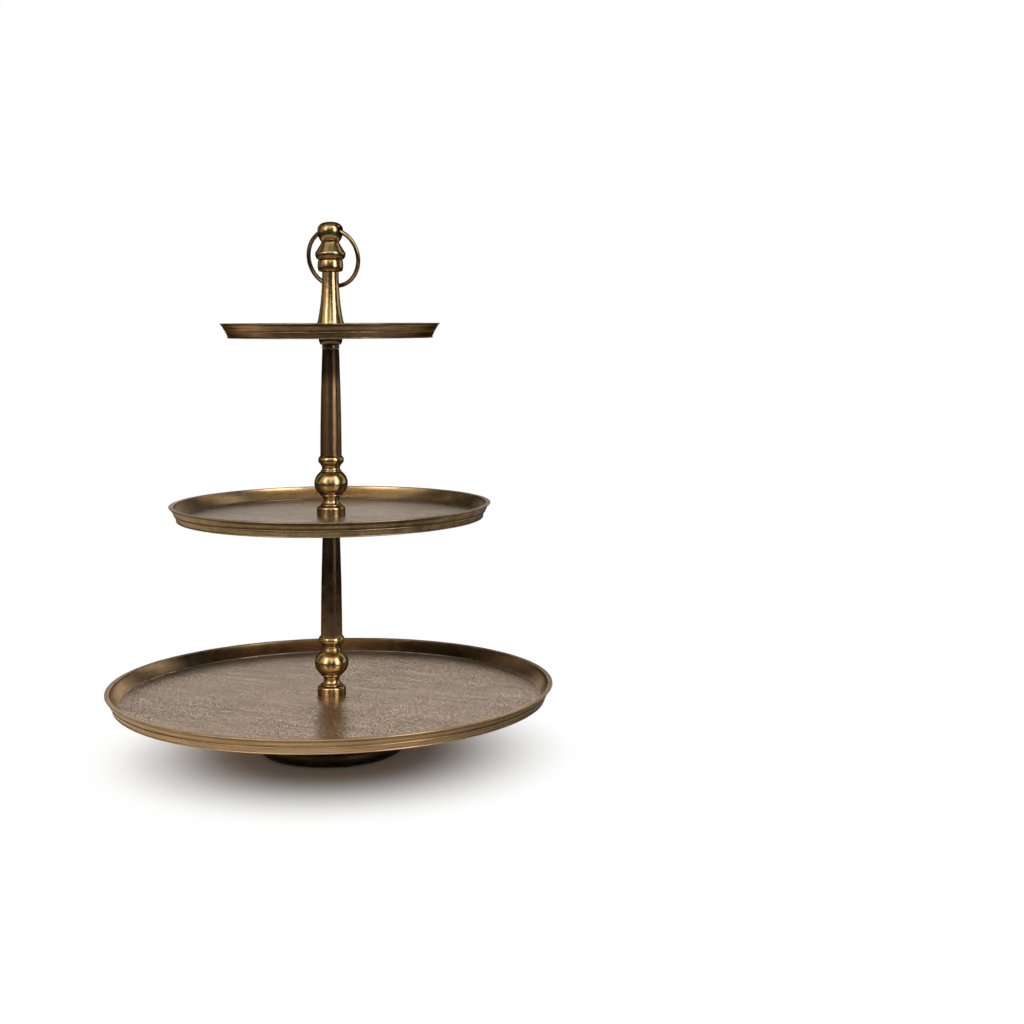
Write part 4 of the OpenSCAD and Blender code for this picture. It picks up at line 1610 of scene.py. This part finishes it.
    def set_world(self) -> None:
        """Makes the background white to the camera and a dark room with softboxes to the metal."""
        world = bpy.data.worlds.new("studio")
        bpy.context.scene.world = world
        world.cycles.sampling_method = "NONE"
        b = empty_bench(world)
        direction = b.add("ShaderNodeTexCoord").outputs["Generated"]
        height = b.add("ShaderNodeSeparateXYZ", {0: direction}).outputs[2]
        depth = b.add("ShaderNodeVectorMath", {0: direction, 1: self.forward()},
                      operation="DOT_PRODUCT").outputs["Value"]
        behind = b.times(b.ramp(depth, *self.backdrop_side), b.ramp(height, *self.backdrop_foot))
        behind = b.times(behind, b.ramp(height, *self.backdrop_top, 1.0, 0.5))
        level = b.plus(self.room, b.times(behind, self.backdrop))
        level = b.plus(level, b.times(b.ramp(height, *self.ceiling_rise), self.ceiling))
        color = b.grey(level)
        for box in self.softboxes:
            mask = b.group(window_group(), {
                "Direction": direction, "Turn": math.radians(self.azimuth - 90.0 + box.turn),
                "Half Width": math.radians(box.half_width), "Rise": math.radians(box.rise),
                "Half Height": math.radians(box.half_height)})["Mask"]
            color = b.mix(mask, color, rgba(tuple(box.strength * c for c in box.tint)))
        path = b.add("ShaderNodeLightPath").outputs
        white = b.math("MAXIMUM", path["Is Camera Ray"], path["Is Transmission Ray"])
        plain = b.mix(path["Is Glossy Ray"], rgba((self.dome,) * 3), color)
        sky = b.add("ShaderNodeBackground", {"Color": b.mix(white, plain, rgba(WHITE)), "Strength": 1.0})
        b.add("ShaderNodeOutputWorld", {"Surface": sky.outputs[0]})

    def build(self) -> None:
        """Sets up the whole studio."""
        self.set_camera()
        self.set_floor()
        self.set_lamps()
        self.set_world()
        bpy.context.scene.view_settings.view_transform = "Standard"


# painted shade of each tray by direction, for shadow and dark reflections
TRAYS = (
    Tray("tray_large", radius=250.0, seat_r=16.3, steps=384, line_share=0.2,
         inside_painted_shade=((-115, 0.0), (-127, 0.95), (-137, 0.85), (-150, 0.72), (-157, 0.85), (-168, 0.6),
                         (-178, 0.5), (172, 0.8), (165, 0.95), (150, 1.1), (125, 0.6), (105, 0.0), (-60, 0.0)),
         outside_painted_shade=((-50, 0.0), (12, 0.0), (34, 0.2), (52, 0.6), (70, 0.8), (100, 1.0), (160, 0.4),
                          (-120, 0.1))),
    Tray("tray_middle", radius=180.5, seat_r=16.3, steps=320,
         inside_painted_shade=((-85, 0.8), (-106, 0.8), (-120, 0.55), (-130, 0.15), (-148, 0.0), (176, 0.0), (165, 0.3),
                         (150, 0.4), (138, 0.7), (115, 0.85), (90, 0.8), (0, 0.3)),
         outside_painted_shade=((-65, 0.6), (-40, 0.74), (0, 0.8), (50, 0.86), (90, 1.0), (180, 0.5)),
         lip_painted_shade=((-90, 0.5), (-60, 0.68), (60, 0.72), (95, 0.8), (130, 1.0), (-125, 1.0))),
    Tray("tray_top", radius=124.0, seat_r=18.2, steps=256, low_share=1.3,
         inside_painted_shade=((-90, 0.3), (90, 0.4)),
         outside_painted_shade=((-60, 0.1), (-22, 0.65), (9, 0.65), (35, 0.55), (65, 0.65), (180, 0.4)),
         lip_painted_shade=((0, 0.75), (180, 1.0))),
)
# top painted shade: painted shade under each capital
COLUMNS = (Column("lower", top_painted_shade=0.6), Column("upper", top_painted_shade=0.95))


def main() -> None:
    """Builds the stand's pieces in order and sets up the studio."""
    logging.basicConfig(level=logging.INFO, format="%(name)s: %(message)s")
    Studio().build()
    dress = finishes()
    Foot().build(dress["foot"])
    for tray in TRAYS:
        tray.build(dress[tray.node])
    for column in COLUMNS:
        column.build(dress["polished"], dress[f"{column.level}_shaft"], dress["capital"])
    Finial().build(dress["polished"])
    HandleRing().build(dress["ring"])
    Fasteners().dress(dress["fastener"], dress["pad"])


if __name__ == "__main__":
    main()
